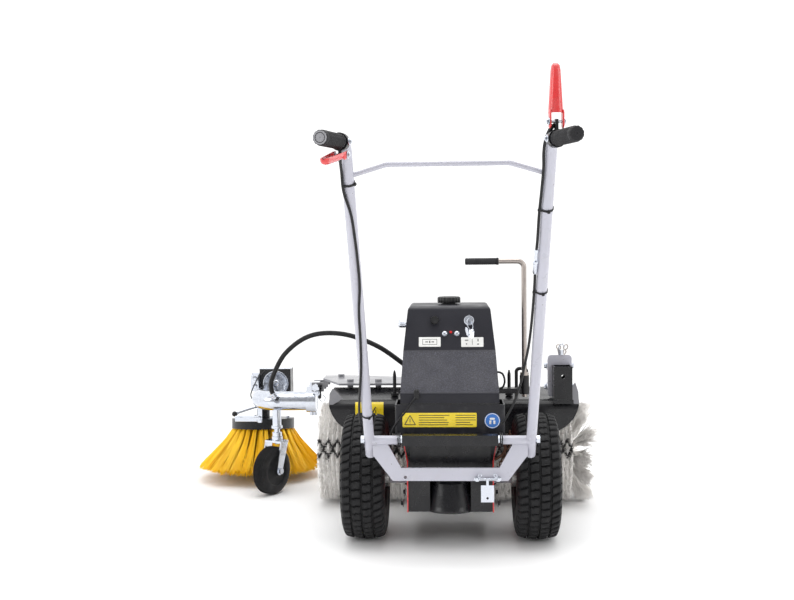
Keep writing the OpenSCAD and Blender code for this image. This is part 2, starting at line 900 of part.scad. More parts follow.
// A pressed channel with its open side down, along +X from behind the pivot to the tip, and its pin
module lever_channel() {
  w0 = 28;
  w1 = 17;
  back = 12;
  h = 15;
  t = 2;
  difference() {
    rotate([90, 0, 90])
      translate([0, -h / 2, -back])
        union() {
          linear_extrude(back + 30)
            translate([-w0 / 2, 0])
              square([w0, h]);
        }
    rotate([90, 0, 90])
      translate([0, -h / 2, -back - 1])
        linear_extrude(back + 32)
          translate([-w0 / 2 + t, -1])
            square([w0 - 2 * t, h - t + 1]);
  }
  difference() {
    translate([30, 0, -h / 2])
      linear_extrude(h)
        polygon([[0, -w0 / 2], [lever_l - 30, -w1 / 2], [lever_l - 30, w1 / 2], [0, w0 / 2]]);
    translate([29, 0, -h / 2 - 1])
      linear_extrude(h - t + 1)
        polygon([
          [0, -w0 / 2 + t], [lever_l - 33, -w1 / 2 + t], [lever_l - 33, w1 / 2 - t],
          [0, w0 / 2 - t]
        ]);
  }
  rod([0, -w0 / 2 + 1, 0], [0, w0 / 2 - 1, 0], 3);
}

module left_lever() {
  color(paint_red)
    translate(lever_pivot(-1))
      rotate([0, 0, -90 - splay])
        rotate([0, left_lever_dip, 0])
          mirror([0, 0, 1])
            lever_channel();
}

module right_lever() {
  color(paint_red)
    translate(lever_pivot(1))
      rotate([0, 0, -90 + splay])
        rotate([0, -90, 0])
          lever_channel();
}

// The control cables run down behind the tubes: [along the tube, across, out behind it]
cable_d = 6;
left_route = [
  [800, -10, 14], [745, -9, 14.6], [690, 2, 16], [630, 6, 15], [570, 8, 14], [500, 8, 14],
  [430, 2, 16], [340, 0, 16], [260, -4, 15], [180, -12, 12], [110, -18, 4], [60, -18, -2]
];
right_route = [
  [800, -12, 12], [740, -14, 10], [680, -15.6, 6.6], [620, -16, 8], [560, -17, 6], [490, -16, 5.5],
  [400, -17, 5], [320, -20, 2], [250, -26, -4], [180, -34, -8], [110, -48, -12], [50, -72, -6]
];

module left_cable() {
  color(rubber)
    swept(smooth([for (p = left_route) on_tube(-1, p[0], p[1], p[2])], 3), cable_d / 2, 8, [1, 0, 0]);
}

module right_cable() {
  color(rubber)
    swept(smooth([for (p = right_route) on_tube(1, p[0], p[1], p[2])], 3), cable_d / 2, 8, [1, 0, 0]);
}

// A strap round a tube, where it holds a cable
module cable_ties() {
  color(rubber)
    for (p = [[-1, 735], [-1, 92], [1, 690], [1, 475]])
      difference() {
        rod(on_tube(p[0], p[1] - 3), on_tube(p[0], p[1] + 3), tube_r + 1.2);
        rod(on_tube(p[0], p[1] - 4), on_tube(p[0], p[1] + 4), tube_r + run_gap);
      }
}

// ---------------------------------------------------------------- brush head

// The brush hood's top runs straight from its rounded rear edge up to its crown
edge_cover_r = 26;
crown_r = 120;
edge_mid = [cover_rear_y + edge_cover_r, cover_top_z - 16 - edge_cover_r];
crown_mid = [roller_y - 40, cover_top_z - crown_r];
slope_turn = atan2(crown_mid[1] - edge_mid[1], crown_mid[0] - edge_mid[0])
  + acos((edge_cover_r - crown_r) / norm(crown_mid - edge_mid));
slope_out = [cos(slope_turn), sin(slope_turn)];
function slope_z(y) = (edge_mid * slope_out + edge_cover_r - slope_out[0] * y) / slope_out[1];

// The outline of the brush hood seen from the side
module cover_side(inset) {
  offset(delta = -inset)
    hull() {
      translate([cover_rear_y, cover_low_z - 60])
        square([cover_front_y - cover_rear_y, 10]);
      translate(edge_mid)
        circle(r = edge_cover_r, $fn = 32);
      translate(crown_mid)
        circle(r = crown_r, $fn = 64);
      translate([cover_front_y - 90, cover_top_z - 22 - 90])
        circle(r = 90, $fn = 64);
    }
}

module brush_hood() {
  color(paint_black)
    translate([head_x, 0, 0])
      difference() {
        intersection() {
          plate_yz(-cover_w / 2, cover_w / 2)
            cover_side(0);
          plate_xz(cover_rear_y - 1, cover_front_y + 1)
            hull() {
              translate([-cover_w / 2, cover_top_z])
                square([cover_w, 5]);
              for (x = [-1, 1])
                translate([x * (cover_w / 2 - cover_corner), cover_low_z + cover_corner])
                  circle(r = cover_corner, $fn = 64);
            }
        }
        plate_yz(-cover_w / 2 - 1, cover_w / 2 + 1)
          cover_side(cover_t);
        translate([-head_x, swivel_y, cover_top_z - 60])
          cylinder(h = 80, r = 31);
      }
}

module head_gearbox() {
  color(paint_black)
    difference() {
      union() {
        translate([head_x - head_half, 0, 0])
          rotate([90, 0, 90])
            linear_extrude(2 * head_half)
              hull() {
                translate([roller_y, roller_z])
                  circle(r = 62);
                translate([swivel_y - 28, cover_top_z - 48])
                  square([130, 20]);
              }
        translate([0, swivel_y, cover_top_z - 44])
          cylinder(h = 44 + pad_z - cover_top_z + 4, r = 30);
        translate([0, swivel_y, cover_top_z - 30])
          cylinder(h = beam_z + beam_t + 15 - cover_top_z + 30, r = swivel_d / 2);
        translate([0, swivel_y, beam_z + beam_t + seat_gap])
          cylinder(h = 14, r = 24, $fn = 6);
        translate([head_x - 300, roller_y - 25, cover_top_z - 42])
          cube([600, 50, 24]);
      }
      rod([head_x - 40, roller_y, roller_z], [head_x + 40, roller_y, roller_z], 20 + run_gap);
    }
}

module roller_shaft() {
  end = roller_w / 2 - 46;
  color(paint_black) {
    rod([head_x - end, roller_y, roller_z], [head_x + end, roller_y, roller_z], 20);
    for (s = [-1, 1]) {
      rod([head_x + s * (head_half + bristle_gap), roller_y, roller_z],
        [head_x + s * (end - 12), roller_y, roller_z], core_d / 2);
      rod([head_x + s * (end - 12), roller_y, roller_z], [head_x + s * end, roller_y, roller_z], 32);
    }
  }
}

module bristle_half(s) {
  end = roller_w / 2;
  color([0.88, 0.86, 0.82])
    difference() {
      rod([head_x + s * (head_half + bristle_gap), roller_y, roller_z],
        [head_x + s * end, roller_y, roller_z], roller_d / 2);
      rod([head_x, roller_y, roller_z], [head_x + s * (end - 58), roller_y, roller_z], core_d / 2);
      rod([head_x + s * (end - 59), roller_y, roller_z],
        [head_x + s * (end + 1), roller_y, roller_z], core_d / 2 + 12);
    }
}

module left_bristles() { bristle_half(-1); }
module right_bristles() { bristle_half(1); }

plate_x0 = -392;
plate_x1 = -128;
plate_z = cover_top_z + 10;
plate_y0 = 330;
module arm_plate() {
  color([0.55, 0.55, 0.58])
    difference() {
      union() {
        translate([0, 0, plate_z])
          linear_extrude(6)
            polygon([
              [plate_x1, plate_y0], [plate_x1, plate_y0 + 150], [-300, arm_y + 34],
              [plate_x0, arm_y + 34], [plate_x0, arm_y - 34], [-330, plate_y0]
            ]);
        for (x = [-215, -300])
          translate([x, plate_y0 + 40, cover_top_z + 0.1])
            cylinder(h = plate_z - cover_top_z + 1, r = 9);
        for (y = [arm_y - 34, arm_y + 26])
          translate([hinge_x - 14, y, hinge_z - 14])
            cube([38, 8, 28]);
        for (y = [arm_y - 34, arm_y + 26])
          translate([plate_x0 - 1, y, hinge_z])
            cube([14, 8, plate_z - hinge_z + 6]);
        for (p = [[-215, plate_y0 + 40], [-300, plate_y0 + 40], [-340, arm_y]])
          translate([p[0], p[1], plate_z + 6])
            cylinder(h = 8, r = 10, $fn = 6);
      }
      rod([hinge_x, arm_y - 40, hinge_z], [hinge_x, arm_y + 40, hinge_z], hinge_d / 2 + run_gap);
    }
}

post_x = head_x + 310;
post_s = 52;
post_y0 = cover_rear_y - 16;
module accessory_post() {
  color(paint_black)
    difference() {
      translate([post_x - post_s / 2, post_y0, cover_top_z - 24])
        cube([post_s, post_s, 104]);
      translate([post_x - post_s / 2 + wall, post_y0 + wall, cover_top_z + 4])
        cube([post_s - 2 * wall, post_s - 2 * wall, 104]);
      rod([post_x, post_y0 - 1, cover_top_z + 52], [post_x, post_y0 + post_s + 1, cover_top_z + 52],
        5.5);
      translate([head_x - cover_w / 2, 0, 0])
        plate_yz(0, cover_w)
          cover_side(-seat_gap);
    }
}

bracket_h = 120;
bracket_z = cover_top_z - 12;
module post_bracket() {
  y0 = post_y0 + post_s + seat_gap;
  color(paint_grey)
    difference() {
      union() {
        plate_xz(y0, y0 + 6)
          translate([post_x - 38, bracket_z])
            offset(r = 10)
              translate([10, 10])
                square([48, bracket_h - 20]);
        translate([post_x - 38 + 2, y0, cover_top_z + 20])
          cube([6, 46, 70]);
      }
      translate([head_x - cover_w / 2, 0, 0])
        plate_yz(0, cover_w)
          cover_side(-seat_gap);
      rod([post_x, y0 - 1, cover_top_z + 52], [post_x, y0 + 8, cover_top_z + 52], 7);
    }
}

// A spring clip that stands in a drilled pin on top of the post's bracket
module post_clip() {
  z0 = bracket_z + bracket_h;
  y0 = post_y0 + post_s + seat_gap + 3;
  color(zinc) {
    translate([post_x, y0, z0 + seat_gap])
      cylinder(h = 14, r = 7);
    bent_bar([
      [post_x - 6, y0, z0 + 9], [post_x - 6, y0, z0 + 22], [post_x + 2, y0, z0 + 36],
      [post_x + 10, y0, z0 + 22]
    ], 4, 1.8);
  }
}

module stop_studs() {
  stud_y = swivel_y - 40;
  hook_y = swivel_y + 6;
  color(paint_black) {
    for (x = [-160, 172])
      translate([x, stud_y, slope_z(stud_y + 11) + seat_gap]) {
        cylinder(h = 62, r = 5);
        translate([0, 0, 62])
          cylinder(h = 12, r1 = 5, r2 = 2);
        cylinder(h = 8, r = 11, $fn = 6);
      }
    bent_bar([
      [196, hook_y, slope_z(hook_y) + 1], [196, hook_y, cover_top_z + 62],
      [226, hook_y, cover_top_z + 62], [226, hook_y, cover_top_z + 40]
    ], 10, 5);
  }
}

// The block on the hood from which the flexible shaft takes its drive
takeoff = [-70, 372, cover_top_z + 24];
module shaft_takeoff() {
  color(paint_black) {
    translate([takeoff[0] + 12, takeoff[1] - 22, cover_top_z + seat_gap])
      cube([44, 44, 42]);
    rod(takeoff, takeoff + [14, 0, 0], 11);
  }
}

// ---------------------------------------------------------------- side arm and side brush

module arm_clamp() {
  color(zinc)
    difference() {
      union() {
        translate([hinge_x - 22, arm_y - 24, hinge_z - 13])
          cube([30, 48, 26]);
        translate([hinge_x - 32, arm_y - 24, arm_z])
          cube([26, 48, hinge_z - arm_z]);
        rod([hinge_x - 34, arm_y, arm_z], [hinge_x - 6, arm_y, arm_z], arm_r + 6);
        rod([hinge_x - 20, arm_y, arm_z - arm_r - 16], [hinge_x - 20, arm_y, arm_z - arm_r], 6);
        rod([hinge_x, arm_y - 42, hinge_z], [hinge_x, arm_y + 42, hinge_z], hinge_d / 2);
        hex([hinge_x, arm_y - 50, hinge_z], [hinge_x, arm_y - 42, hinge_z], 22);
      }
      rod([hinge_x - 60, arm_y, arm_z], [hinge_x, arm_y, arm_z], arm_r + run_gap);
    }
}

arm_front_y = side_y - 40;
module arm_tube() {
  color(zinc)
    difference() {
      union() {
        bent_bar([
          [hinge_x - 4, arm_y, arm_z], [arm_turn_x, arm_y, arm_z], [arm_turn_x, arm_front_y, arm_z]
        ], elbow_r, arm_r);
        translate([stem_x, arm_y, arm_z - arm_r - 58])
          cylinder(h = 58 + arm_r / 2, r = 14);
        rod([-540, arm_y - arm_r - 8, 300], [-540, arm_y - 10, 290], 11);
      }
      translate([stem_x, arm_y, 0])
        cylinder(h = arm_z + 8, r = 9 + run_gap);
    }
}

// The side brush's drive: a gear case on the arm's end, a motor disc in a bracket, and its shaft
side_axis = [0, -sin(side_tilt), -cos(side_tilt)];
disc_top = [-side_x, side_y, disc_z] - disc_t * side_axis;
module side_drive() {
  shaft_top = disc_top - 60 * side_axis;
  color(paint_black)
    difference() {
      union() {
        translate([-side_x - 2, arm_front_y + seat_gap, arm_z - 34])
          cube([104, 60, 113]);
        rod(disc_top - 34 * side_axis, shaft_top, 24);
      }
      rod(disc_top, shaft_top - 20 * side_axis, 10 + run_gap);
      translate([-side_x + 51, arm_front_y - 1, arm_z + 30])
        rotate([-90, 0, 0])
          cylinder(h = 10, r = 44);
    }
}

module tilt_lever() {
  root = disc_top - 40 * side_axis;
  from = root + [-25.7 * cos(35), -25.7 * sin(35), 0];
  knob = root + [-82, -80, -14];
  color(zinc) {
    rod(from, knob, 5);
    translate(knob)
      sphere(r = 9);
  }
}

module side_disc() {
  color(paint_black)
    difference() {
      union() {
        rod([-side_x, side_y, disc_z], disc_top, disc_d / 2);
        rod(disc_top + 2 * side_axis, disc_top - 50 * side_axis, 10);
        rod(disc_top + 2 * side_axis, disc_top - 30 * side_axis, 22);
      }
    }
}

module side_bristles() {
  top_r = disc_d / 2 - 4;
  color([1.0, 0.72, 0.05])
    translate([-side_x, side_y, disc_z])
      rotate([-side_tilt, 0, 0])
        rotate_extrude()
          polygon([
            [30, -0.3], [top_r, -0.3], [side_tip_r, -tip_drop + 10], [side_tip_r, -tip_drop],
            [side_tip_r - 60, -tip_drop], [30, -30]
          ]);
}

// The fork's crown plate lies crown_z up, with a bush on it that turns on the stem's king pin
crown_z = caster_d + 10;
crown_bush = 18;
module caster_stem() {
  stem_foot = crown_z + crown_bush;
  nut_z = crown_z - seat_gap;
  color(zinc) {
    translate([stem_x, arm_y, stem_foot])
      cylinder(h = arm_z - stem_foot, r = 9);
    translate([stem_x, arm_y, stem_foot])
      cylinder(h = 12, r = 15);
    translate([stem_x, arm_y, nut_z - 7])
      cylinder(h = stem_foot - nut_z + 8, r = king_r - run_gap);
    hex([stem_x, arm_y, nut_z - 6], [stem_x, arm_y, nut_z], 15);
  }
}

caster_axle = [-caster_trail, 0, caster_d / 2];
module at_caster() {
  translate([stem_x, arm_y, 0])
    rotate([0, 0, 90 + caster_yaw])
      children();
}

module caster_fork() {
  color(zinc)
    at_caster()
      difference() {
        union() {
          translate([0, 0, crown_z])
            cylinder(h = crown_bush - seat_gap, r = 17);
          translate([-22, -32, crown_z])
            cube([38, 64, crown_t]);
          for (y = [-32, 28])
            translate([0, y, 0])
              hull() {
                translate([-20, 0, crown_z])
                  cube([34, 4, crown_t]);
                translate([caster_axle[0], 0, caster_axle[2]])
                  rotate([-90, 0, 0])
                    cylinder(h = 4, r = 13, $fn = 32);
              }
          rod(caster_axle + [0, -38, 0], caster_axle + [0, 38, 0], 6);
          hex(caster_axle + [0, -40, 0], caster_axle + [0, -32, 0], 17);
        }
        rod([0, 0, crown_z - 1], [0, 0, crown_z + crown_bush + 1], king_r);
      }
}

module caster_wheel() {
  color(rubber)
    at_caster()
      translate(caster_axle)
        rotate([90, 0, 0])
          difference() {
            union() {
              rotate_extrude()
                tyre_section(caster_d / 2, 46, 46);
              translate([0, 0, -20])
                cylinder(h = 40, r = 46);
              translate([0, 0, -27])
                cylinder(h = 54, r = 15);
            }
            translate([0, 0, -40])
              cylinder(h = 80, r = 6 + run_gap);
          }
}

// The flexible drive shaft arches from the head's take-off to the side arm
hose_route = [
  [-71.5, 372, 374], [-96, 371, 382], [-142, 358, 424], [-220, 352, 478], [-320, 360, 512],
  [-420, 378, 506], [-500, 400, 452], [-545, 422, 376], [-552, 432, 334], [-541, 447, 306]
];
module flex_shaft() {
  color(rubber)
    swept(smooth(hose_route, 5), hose_d / 2, 12, [0, 1, 0]);
}

place() side_plates();
place() rear_housing();
place() bell_housing();
place() gearbox();
place() handle_mount();
place() pivot_bolts();
place() deck_plate();
place() battery_box();
place() battery();
place() engine_block();
place() fuel_tank();
place() engine_hood();
place() panel_fittings();
place() nose_beam();
place() lever_bush();
place() fuel_cap();
place() key();
place() choke_knob();
place() left_tyre();
place() left_rim();
place() left_axle();
place() right_tyre();
place() right_rim();
place() right_axle();
place() left_handle_tube();
place() right_handle_tube();
place() handle_crossbar();
place() lower_yoke();
place() left_grip();
place() right_grip();
place() lever_brackets();
place() left_cable();
place() right_cable();
place() cable_ties();
place() left_lever();
place() right_lever();
place() latch_pedal();
place() swivel_rod();
place() swivel_grip();
place() brush_hood();
place() head_gearbox();
place() arm_plate();
place() accessory_post();
place() post_bracket();
place() post_clip();
place() stop_studs();
place() shaft_takeoff();
place() roller_shaft();
place() left_bristles();
place() right_bristles();
place() arm_clamp();
place() arm_tube();
place() side_drive();
place() tilt_lever();
place() side_disc();
place() side_bristles();
place() caster_stem();
place() caster_fork();
place() caster_wheel();
place() flex_shaft();
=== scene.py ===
# %% [markdown]
# # A walk-behind sweeper
# The machine is a small tractor on two wheels. A long handle folds over it, a roller brush turns
# in front of it, and a side brush hangs on an arm with a caster at the left.
# The CAD frame gives every piece its place and size. Here each piece gets its look: rubber
# tread, bristles, cables and labels are made anew, and the steel parts get their paint.

# %% Load the frame
import math

import bmesh
import bpy
import numpy as np
from mathutils import Matrix, Vector


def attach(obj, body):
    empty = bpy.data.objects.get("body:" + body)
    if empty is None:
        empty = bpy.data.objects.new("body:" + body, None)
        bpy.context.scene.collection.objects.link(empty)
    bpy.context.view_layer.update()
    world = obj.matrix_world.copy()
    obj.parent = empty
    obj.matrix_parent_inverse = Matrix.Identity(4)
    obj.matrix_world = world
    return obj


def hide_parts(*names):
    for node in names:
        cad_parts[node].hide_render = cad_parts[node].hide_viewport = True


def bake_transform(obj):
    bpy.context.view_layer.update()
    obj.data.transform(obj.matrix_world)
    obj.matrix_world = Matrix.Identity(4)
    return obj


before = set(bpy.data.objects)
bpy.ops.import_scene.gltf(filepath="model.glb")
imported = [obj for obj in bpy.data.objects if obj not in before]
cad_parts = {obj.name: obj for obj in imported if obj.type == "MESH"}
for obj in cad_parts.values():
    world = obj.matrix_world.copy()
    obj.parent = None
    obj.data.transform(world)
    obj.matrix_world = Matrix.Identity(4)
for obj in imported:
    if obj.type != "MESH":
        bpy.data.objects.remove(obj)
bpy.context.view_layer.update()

# %% [markdown]
# ## Places
# The sweeper was drawn in millimetres from a zero on the floor under the middle of the axle,
# with X to the operator's right, Y forward and Z up. The frame's own zero is under the middle
# of the whole outline, so one helper moves a point over and turns it into metres.

# %% Machine places to frame places
ZERO = np.array([0.2025, -0.006478, 0.0])


def at(*p):
    """A machine point in mm, or an array of them, as a frame point in metres: p / 1000 + zero."""
    p = np.asarray(p[0] if len(p) == 1 else p, dtype=float)
    return p / 1000 + ZERO


def unit(v):
    """A vector, or each row of an array, divided by its length."""
    v = np.asarray(v, dtype=float)
    return v / np.linalg.norm(v, axis=-1, keepdims=True)


X, Y, Z = np.eye(3)
SIDES = (("left", -1), ("right", 1))
AXLE_Z = 165.0
print("the axle's middle is at", at(0, 0, AXLE_Z))

# %% [markdown]
# ## The camera first
# The machine is seen from behind, from a little under handle height, through a normal lens.
# A camera turned a few degrees left and down keeps the tubes' slight lean in the picture.

# %% Camera
lens_data = bpy.data.cameras.new("view_from_behind")
lens_data.sensor_width = 36
lens_data.lens = 46.4
lens_data.clip_end = 60
camera = bpy.data.objects.new("view_from_behind", lens_data)
bpy.context.scene.collection.objects.link(camera)
LEFT, DOWN, ROLL = math.radians(2.91), math.radians(3.02), math.radians(-0.6)
camera.matrix_world = (
    Matrix.Translation(at(0, -2700, 775))
    @ Matrix.Rotation(LEFT, 4, "Z")
    @ Matrix.Rotation(math.pi / 2 - DOWN, 4, "X")
    @ Matrix.Rotation(ROLL, 4, "Z")
)
bpy.context.scene.camera = camera
print("lens", lens_data.lens, "mm")

# %% [markdown]
# ## Surfaces as arrays
# Most pieces are one grid of points: a section carried along a path, or a profile turned
# round an axis. The grid is worked out for all its points at once, and its faces join each
# point to its neighbours. A ring drawn in to one point closes an end.

# %% Grids, circles and curves
def grid(points, wrap_u=False, wrap_v=True):
    """Quads between neighbours: (i, j), (i + 1, j), (i + 1, j + 1), (i, j + 1)."""
    n, m = points.shape[:2]
    i, j = np.meshgrid(
        np.arange(n if wrap_u else n - 1), np.arange(m if wrap_v else m - 1), indexing="ij"
    )
    k, l = (i + 1) % n, (j + 1) % m
    quads = np.stack([i * m + j, k * m + j, k * m + l, i * m + l], axis=-1)
    return points.reshape(-1, 3), quads.reshape(-1, 4)


def triangles(quads):
    """Each quad (a, b, c, d) as the two triangles (a, b, c) and (a, c, d)."""
    return np.vstack([quads[:, [0, 1, 2]], quads[:, [0, 2, 3]]])


def circle(sides):
    """Cosines and sines of evenly spaced angles round a turn."""
    a = np.linspace(0, 2 * math.pi, sides, endpoint=False)
    return np.cos(a), np.sin(a)


def curve(points, steps):
    """A Catmull-Rom curve: on each stretch, a cubic whose slope at a point is half the way
    from the point before to the point after."""
    p = np.asarray(points, dtype=float)
    p = np.vstack([p[:1], p, p[-1:]])
    t = np.linspace(0, 1, steps, endpoint=False)[:, None]
    a, b, c, d = p[:-3, None], p[1:-2, None], p[2:-1, None], p[3:, None]
    line = 0.5 * (2 * b + (c - a) * t + (2 * a - 5 * b + 4 * c - d) * t**2
                  + (3 * b - a - 3 * c + d) * t**3)
    return np.vstack([line.reshape(-1, p.shape[1]), p[-1:]])


def square_to(axis):
    """Two unit vectors u and v that are square to an axis and to each other."""
    u = unit(np.cross(axis, X if abs(axis[0]) < 0.9 else Y))
    return u, np.cross(axis, u)


# %% [markdown]
# Two helpers make most of the round pieces. One carries a circle along any path, for cables
# and hoses. The other turns a profile round a straight axis, for grips, knobs and washers.

# %% Tubes and turned shapes
def tube(path, radius, sides=16, ref=X):
    """Circles carried along a path: p + r (cos a u + sin a v), where u and v are square to
    the path. Each end is drawn in to its middle."""
    path = np.asarray(path, dtype=float)
    t = unit(np.gradient(path, axis=0))
    u = unit(np.cross(ref, t))
    v = np.cross(t, u)
    c, s = circle(sides)
    r = np.broadcast_to(radius, len(path))[:, None, None]
    rings = path[:, None] + r * (c[:, None] * u[:, None] + s[:, None] * v[:, None])
    first = np.repeat(path[:1, None], sides, axis=1)
    last = np.repeat(path[-1:, None], sides, axis=1)
    return grid(np.concatenate([first, rings, last]))


def turned(profile, start, axis, sides=32, flutes=0, depth=0.0):
    """A profile of (height, radius) turned round an axis: start + h axis + r (cos a u + sin a v).
    With flutes, r sinks by depth in each of them, as a cosine of the angle times their number."""
    profile = np.asarray(profile, dtype=float)
    axis = unit(axis)
    u, v = square_to(axis)
    c, s = circle(sides)
    a = np.linspace(0, 2 * math.pi, sides, endpoint=False)
    h, r = profile[:, 0, None, None], profile[:, 1, None, None]
    r = np.maximum(r - (r > 0) * depth * (0.5 + 0.5 * np.cos(flutes * a))[None, :, None], 0)
    ring = c[:, None] * u + s[:, None] * v
    return grid(np.asarray(start, dtype=float) + h * axis + r * ring)


print("a turned disc with 12 sides has", len(turned([(0, 9), (5, 9)], (0, 0, 0), Z, 12)[0]), "points")

# %% [markdown]
# Plates, labels and bolt heads are flat outlines with a thickness. An outline is drawn in a
# little at both faces, which gives it the small bevel that catches the light on real edges.

# %% Outlines and plates
def rounded(w, h, r, steps=5):
    """A rectangle's outline with round corners, anticlockwise: four quarter circles."""
    a = np.linspace(0, math.pi / 2, steps)
    corners = [(w / 2 - r, h / 2 - r, 0), (r - w / 2, h / 2 - r, 1),
               (r - w / 2, r - h / 2, 2), (w / 2 - r, r - h / 2, 3)]
    return np.vstack([
        np.stack([x + r * np.cos(a + q * math.pi / 2), y + r * np.sin(a + q * math.pi / 2)], 1)
        for x, y, q in corners
    ])


def ngon(r, n):
    """The corners of a regular polygon: r (cos a, sin a) at n even angles."""
    return r * np.stack(circle(n), 1)


def slab(outline, levels, origin, across, up):
    """An outline carried along its normal: at each level (inset, height) it is drawn in by
    the inset, towards its middle. Both ends close on the middle."""
    outline = np.asarray(outline, dtype=float)
    across, up = unit(across), unit(up)
    out = np.cross(across, up)
    middle = outline.mean(axis=0)
    reach = np.abs(outline - middle).max(axis=0)
    rings = []
    for inset, height in levels:
        flat = middle + (outline - middle) * (1 - inset / reach)
        rings.append(origin + flat[:, :1] * across + flat[:, 1:] * up + height * out)
    centre = origin + middle[0] * across + middle[1] * up
    first, last = [np.repeat((centre + height * out)[None], len(outline), axis=0)
                   for _, height in (levels[0], levels[-1])]
    return grid(np.stack([first, *rings, last]))


def plate(outline, t, origin, across, up, edge=0.4):
    """A slab of thickness t with a small bevel at each edge."""
    return slab(outline, [(edge, 0), (0, edge), (0, t - edge), (edge, t)], origin, across, up)


def merged(shapes):
    """Several (points, faces) shapes as one, each one's faces counted on from the last."""
    starts = np.cumsum([0] + [len(p) for p, _ in shapes[:-1]])
    return (np.vstack([p for p, _ in shapes]),
            np.vstack([f + s for (_, f), s in zip(shapes, starts)]))


print("a ring of 16 has", grid(np.zeros((2, 16, 3)))[1].shape[0], "faces")

# %% [markdown]
# ## From arrays to pieces
# A piece is put into the scene in frame metres, with its object at the origin. Points that
# lie on each other are welded, faces are turned outwards, and edges sharper than a limit
# stay sharp under smooth shading. Then it rides on its body and stands for its CAD nodes.

# %% Put a piece in the scene
def put(name, shape, finish, body, replaces=(), crease=40, weld=True, tint=None):
    """Adds a shape in machine mm as a piece. A tint is one number per point, kept as the
    attribute that the material reads."""
    points, faces = shape
    mesh = bpy.data.meshes.new(name)
    mesh.from_pydata(at(points), [], faces)
    if tint is not None:
        mesh.attributes.new("tint", "FLOAT", "POINT").data.foreach_set("value", tint)
    if weld:
        work = bmesh.new()
        work.from_mesh(mesh)
        bmesh.ops.remove_doubles(work, verts=work.verts, dist=1e-6)
        bmesh.ops.recalc_face_normals(work, faces=work.faces)
        work.to_mesh(mesh)
        work.free()
    mesh.polygons.foreach_set("use_smooth", np.ones(len(mesh.polygons), dtype=bool))
    mesh.set_sharp_from_angle(angle=math.radians(crease))
    mesh.materials.append(finish)
    obj = bpy.data.objects.new(name, mesh)
    bpy.context.scene.collection.objects.link(obj)
    if body:
        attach(obj, body)
    if replaces:
        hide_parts(*replaces)
    print(name, len(mesh.vertices), "points")
    return obj

# %% [markdown]
# ## Finishes
# Every finish starts from one recipe. A broad noise makes its colour a little uneven, a
# finer one makes its gloss uneven, and a third one raises a grain. Patterns are read from
# Object coordinates, which lie still on a piece, because each piece's object stays at the
# origin. Values that are the same all over sit on the shader's own sockets.

# %% The common recipe
class Finish:
    """A material under construction: its node tree, with small helpers to add to it."""

    def __init__(self, name, rough, metal=0.0, coat=0.0, sheen=0.0, specular=0.5):
        self.material = bpy.data.materials.new(name)
        self.material.use_nodes = True
        self.tree = self.material.node_tree
        self.shader = self.tree.nodes["Principled BSDF"]
        self.shader.inputs["Roughness"].default_value = rough
        self.shader.inputs["Metallic"].default_value = metal
        self.shader.inputs["Coat Weight"].default_value = coat
        self.shader.inputs["Coat Roughness"].default_value = 0.12
        self.shader.inputs["Sheen Weight"].default_value = sheen
        self.shader.inputs["Specular IOR Level"].default_value = specular
        self.place = self.node("ShaderNodeTexCoord").outputs["Object"]

    def node(self, kind, links=(), **values):
        """Adds a node, sets its properties or inputs, and links (input, output) pairs."""
        n = self.tree.nodes.new(kind)
        for key, value in values.items():
            if hasattr(n, key):
                setattr(n, key, value)
            else:
                n.inputs[key.replace("_", " ")].default_value = value
        for socket, output in links:
            self.tree.links.new(n.inputs[socket], output)
        return n

    def noise(self, scale, detail=3.0, stretch=(1, 1, 1)):
        """A noise from 0 to 1, this many waves to the metre, stretched along some axes."""
        place = self.place
        if tuple(stretch) != (1, 1, 1):
            place = self.node("ShaderNodeMapping", [("Vector", place)], Scale=stretch).outputs[0]
        return self.node("ShaderNodeTexNoise", [("Vector", place)], Scale=scale, Detail=detail
                         ).outputs["Fac"]

    def cells(self, scale, smooth=0.0):
        """Random cells, this many to the metre. Smoothing rounds the edges between them."""
        n = self.node("ShaderNodeTexVoronoi", [("Vector", self.place)], Scale=scale)
        if smooth:
            n.feature = "SMOOTH_F1"
            n.inputs["Smoothness"].default_value = smooth
        return n

    def ramp(self, value, low, high, out_low=0.0, out_high=1.0):
        """A value between low and high, spread over another range and held at its ends."""
        n = self.node("ShaderNodeMapRange", [("Value", value)])
        for key, number in (("From Min", low), ("From Max", high),
                            ("To Min", out_low), ("To Max", out_high)):
            n.inputs[key].default_value = number
        return n.outputs[0]

    def mix(self, share, a, b):
        """Colour a where share is 0 and colour b where it is 1."""
        n = self.node("ShaderNodeMix", data_type="RGBA")
        self.tree.links.new(n.inputs[0], share)
        for socket, colour in ((6, a), (7, b)):
            if isinstance(colour, bpy.types.NodeSocket):
                self.tree.links.new(n.inputs[socket], colour)
            else:
                n.inputs[socket].default_value = (*colour, 1)
        return n.outputs[2]

    def colour(self, output):
        """Links a colour to the shader."""
        self.tree.links.new(self.shader.inputs["Base Color"], output)
        return self

    def gloss(self, value, low, high):
        """Roughness from low to high as a noise goes from its valleys to its peaks."""
        self.tree.links.new(self.shader.inputs["Roughness"], self.ramp(value, 0.3, 0.7, low, high))
        return self

    def grain(self, *layers):
        """Raised grain: each layer is (height output, distance in mm, strength), one on top
        of the last."""
        normal = None
        for height, distance, strength in layers:
            n = self.node("ShaderNodeBump", [("Height", height)])
            n.inputs["Distance"].default_value = distance / 1000
            n.inputs["Strength"].default_value = strength
            if normal:
                self.tree.links.new(n.inputs["Normal"], normal)
            normal = n.outputs["Normal"]
        self.tree.links.new(self.shader.inputs["Normal"], normal)
        return self


print("noises and cells are read from Object coordinates")

# %% [markdown]
# ## Enamel
# The tubes, plates and housings are sprayed. Sprayed enamel is a colour under a clear coat.
# A faint orange peel breaks up its reflections, fine dust dulls it in patches, and a few
# small chips show the primer.

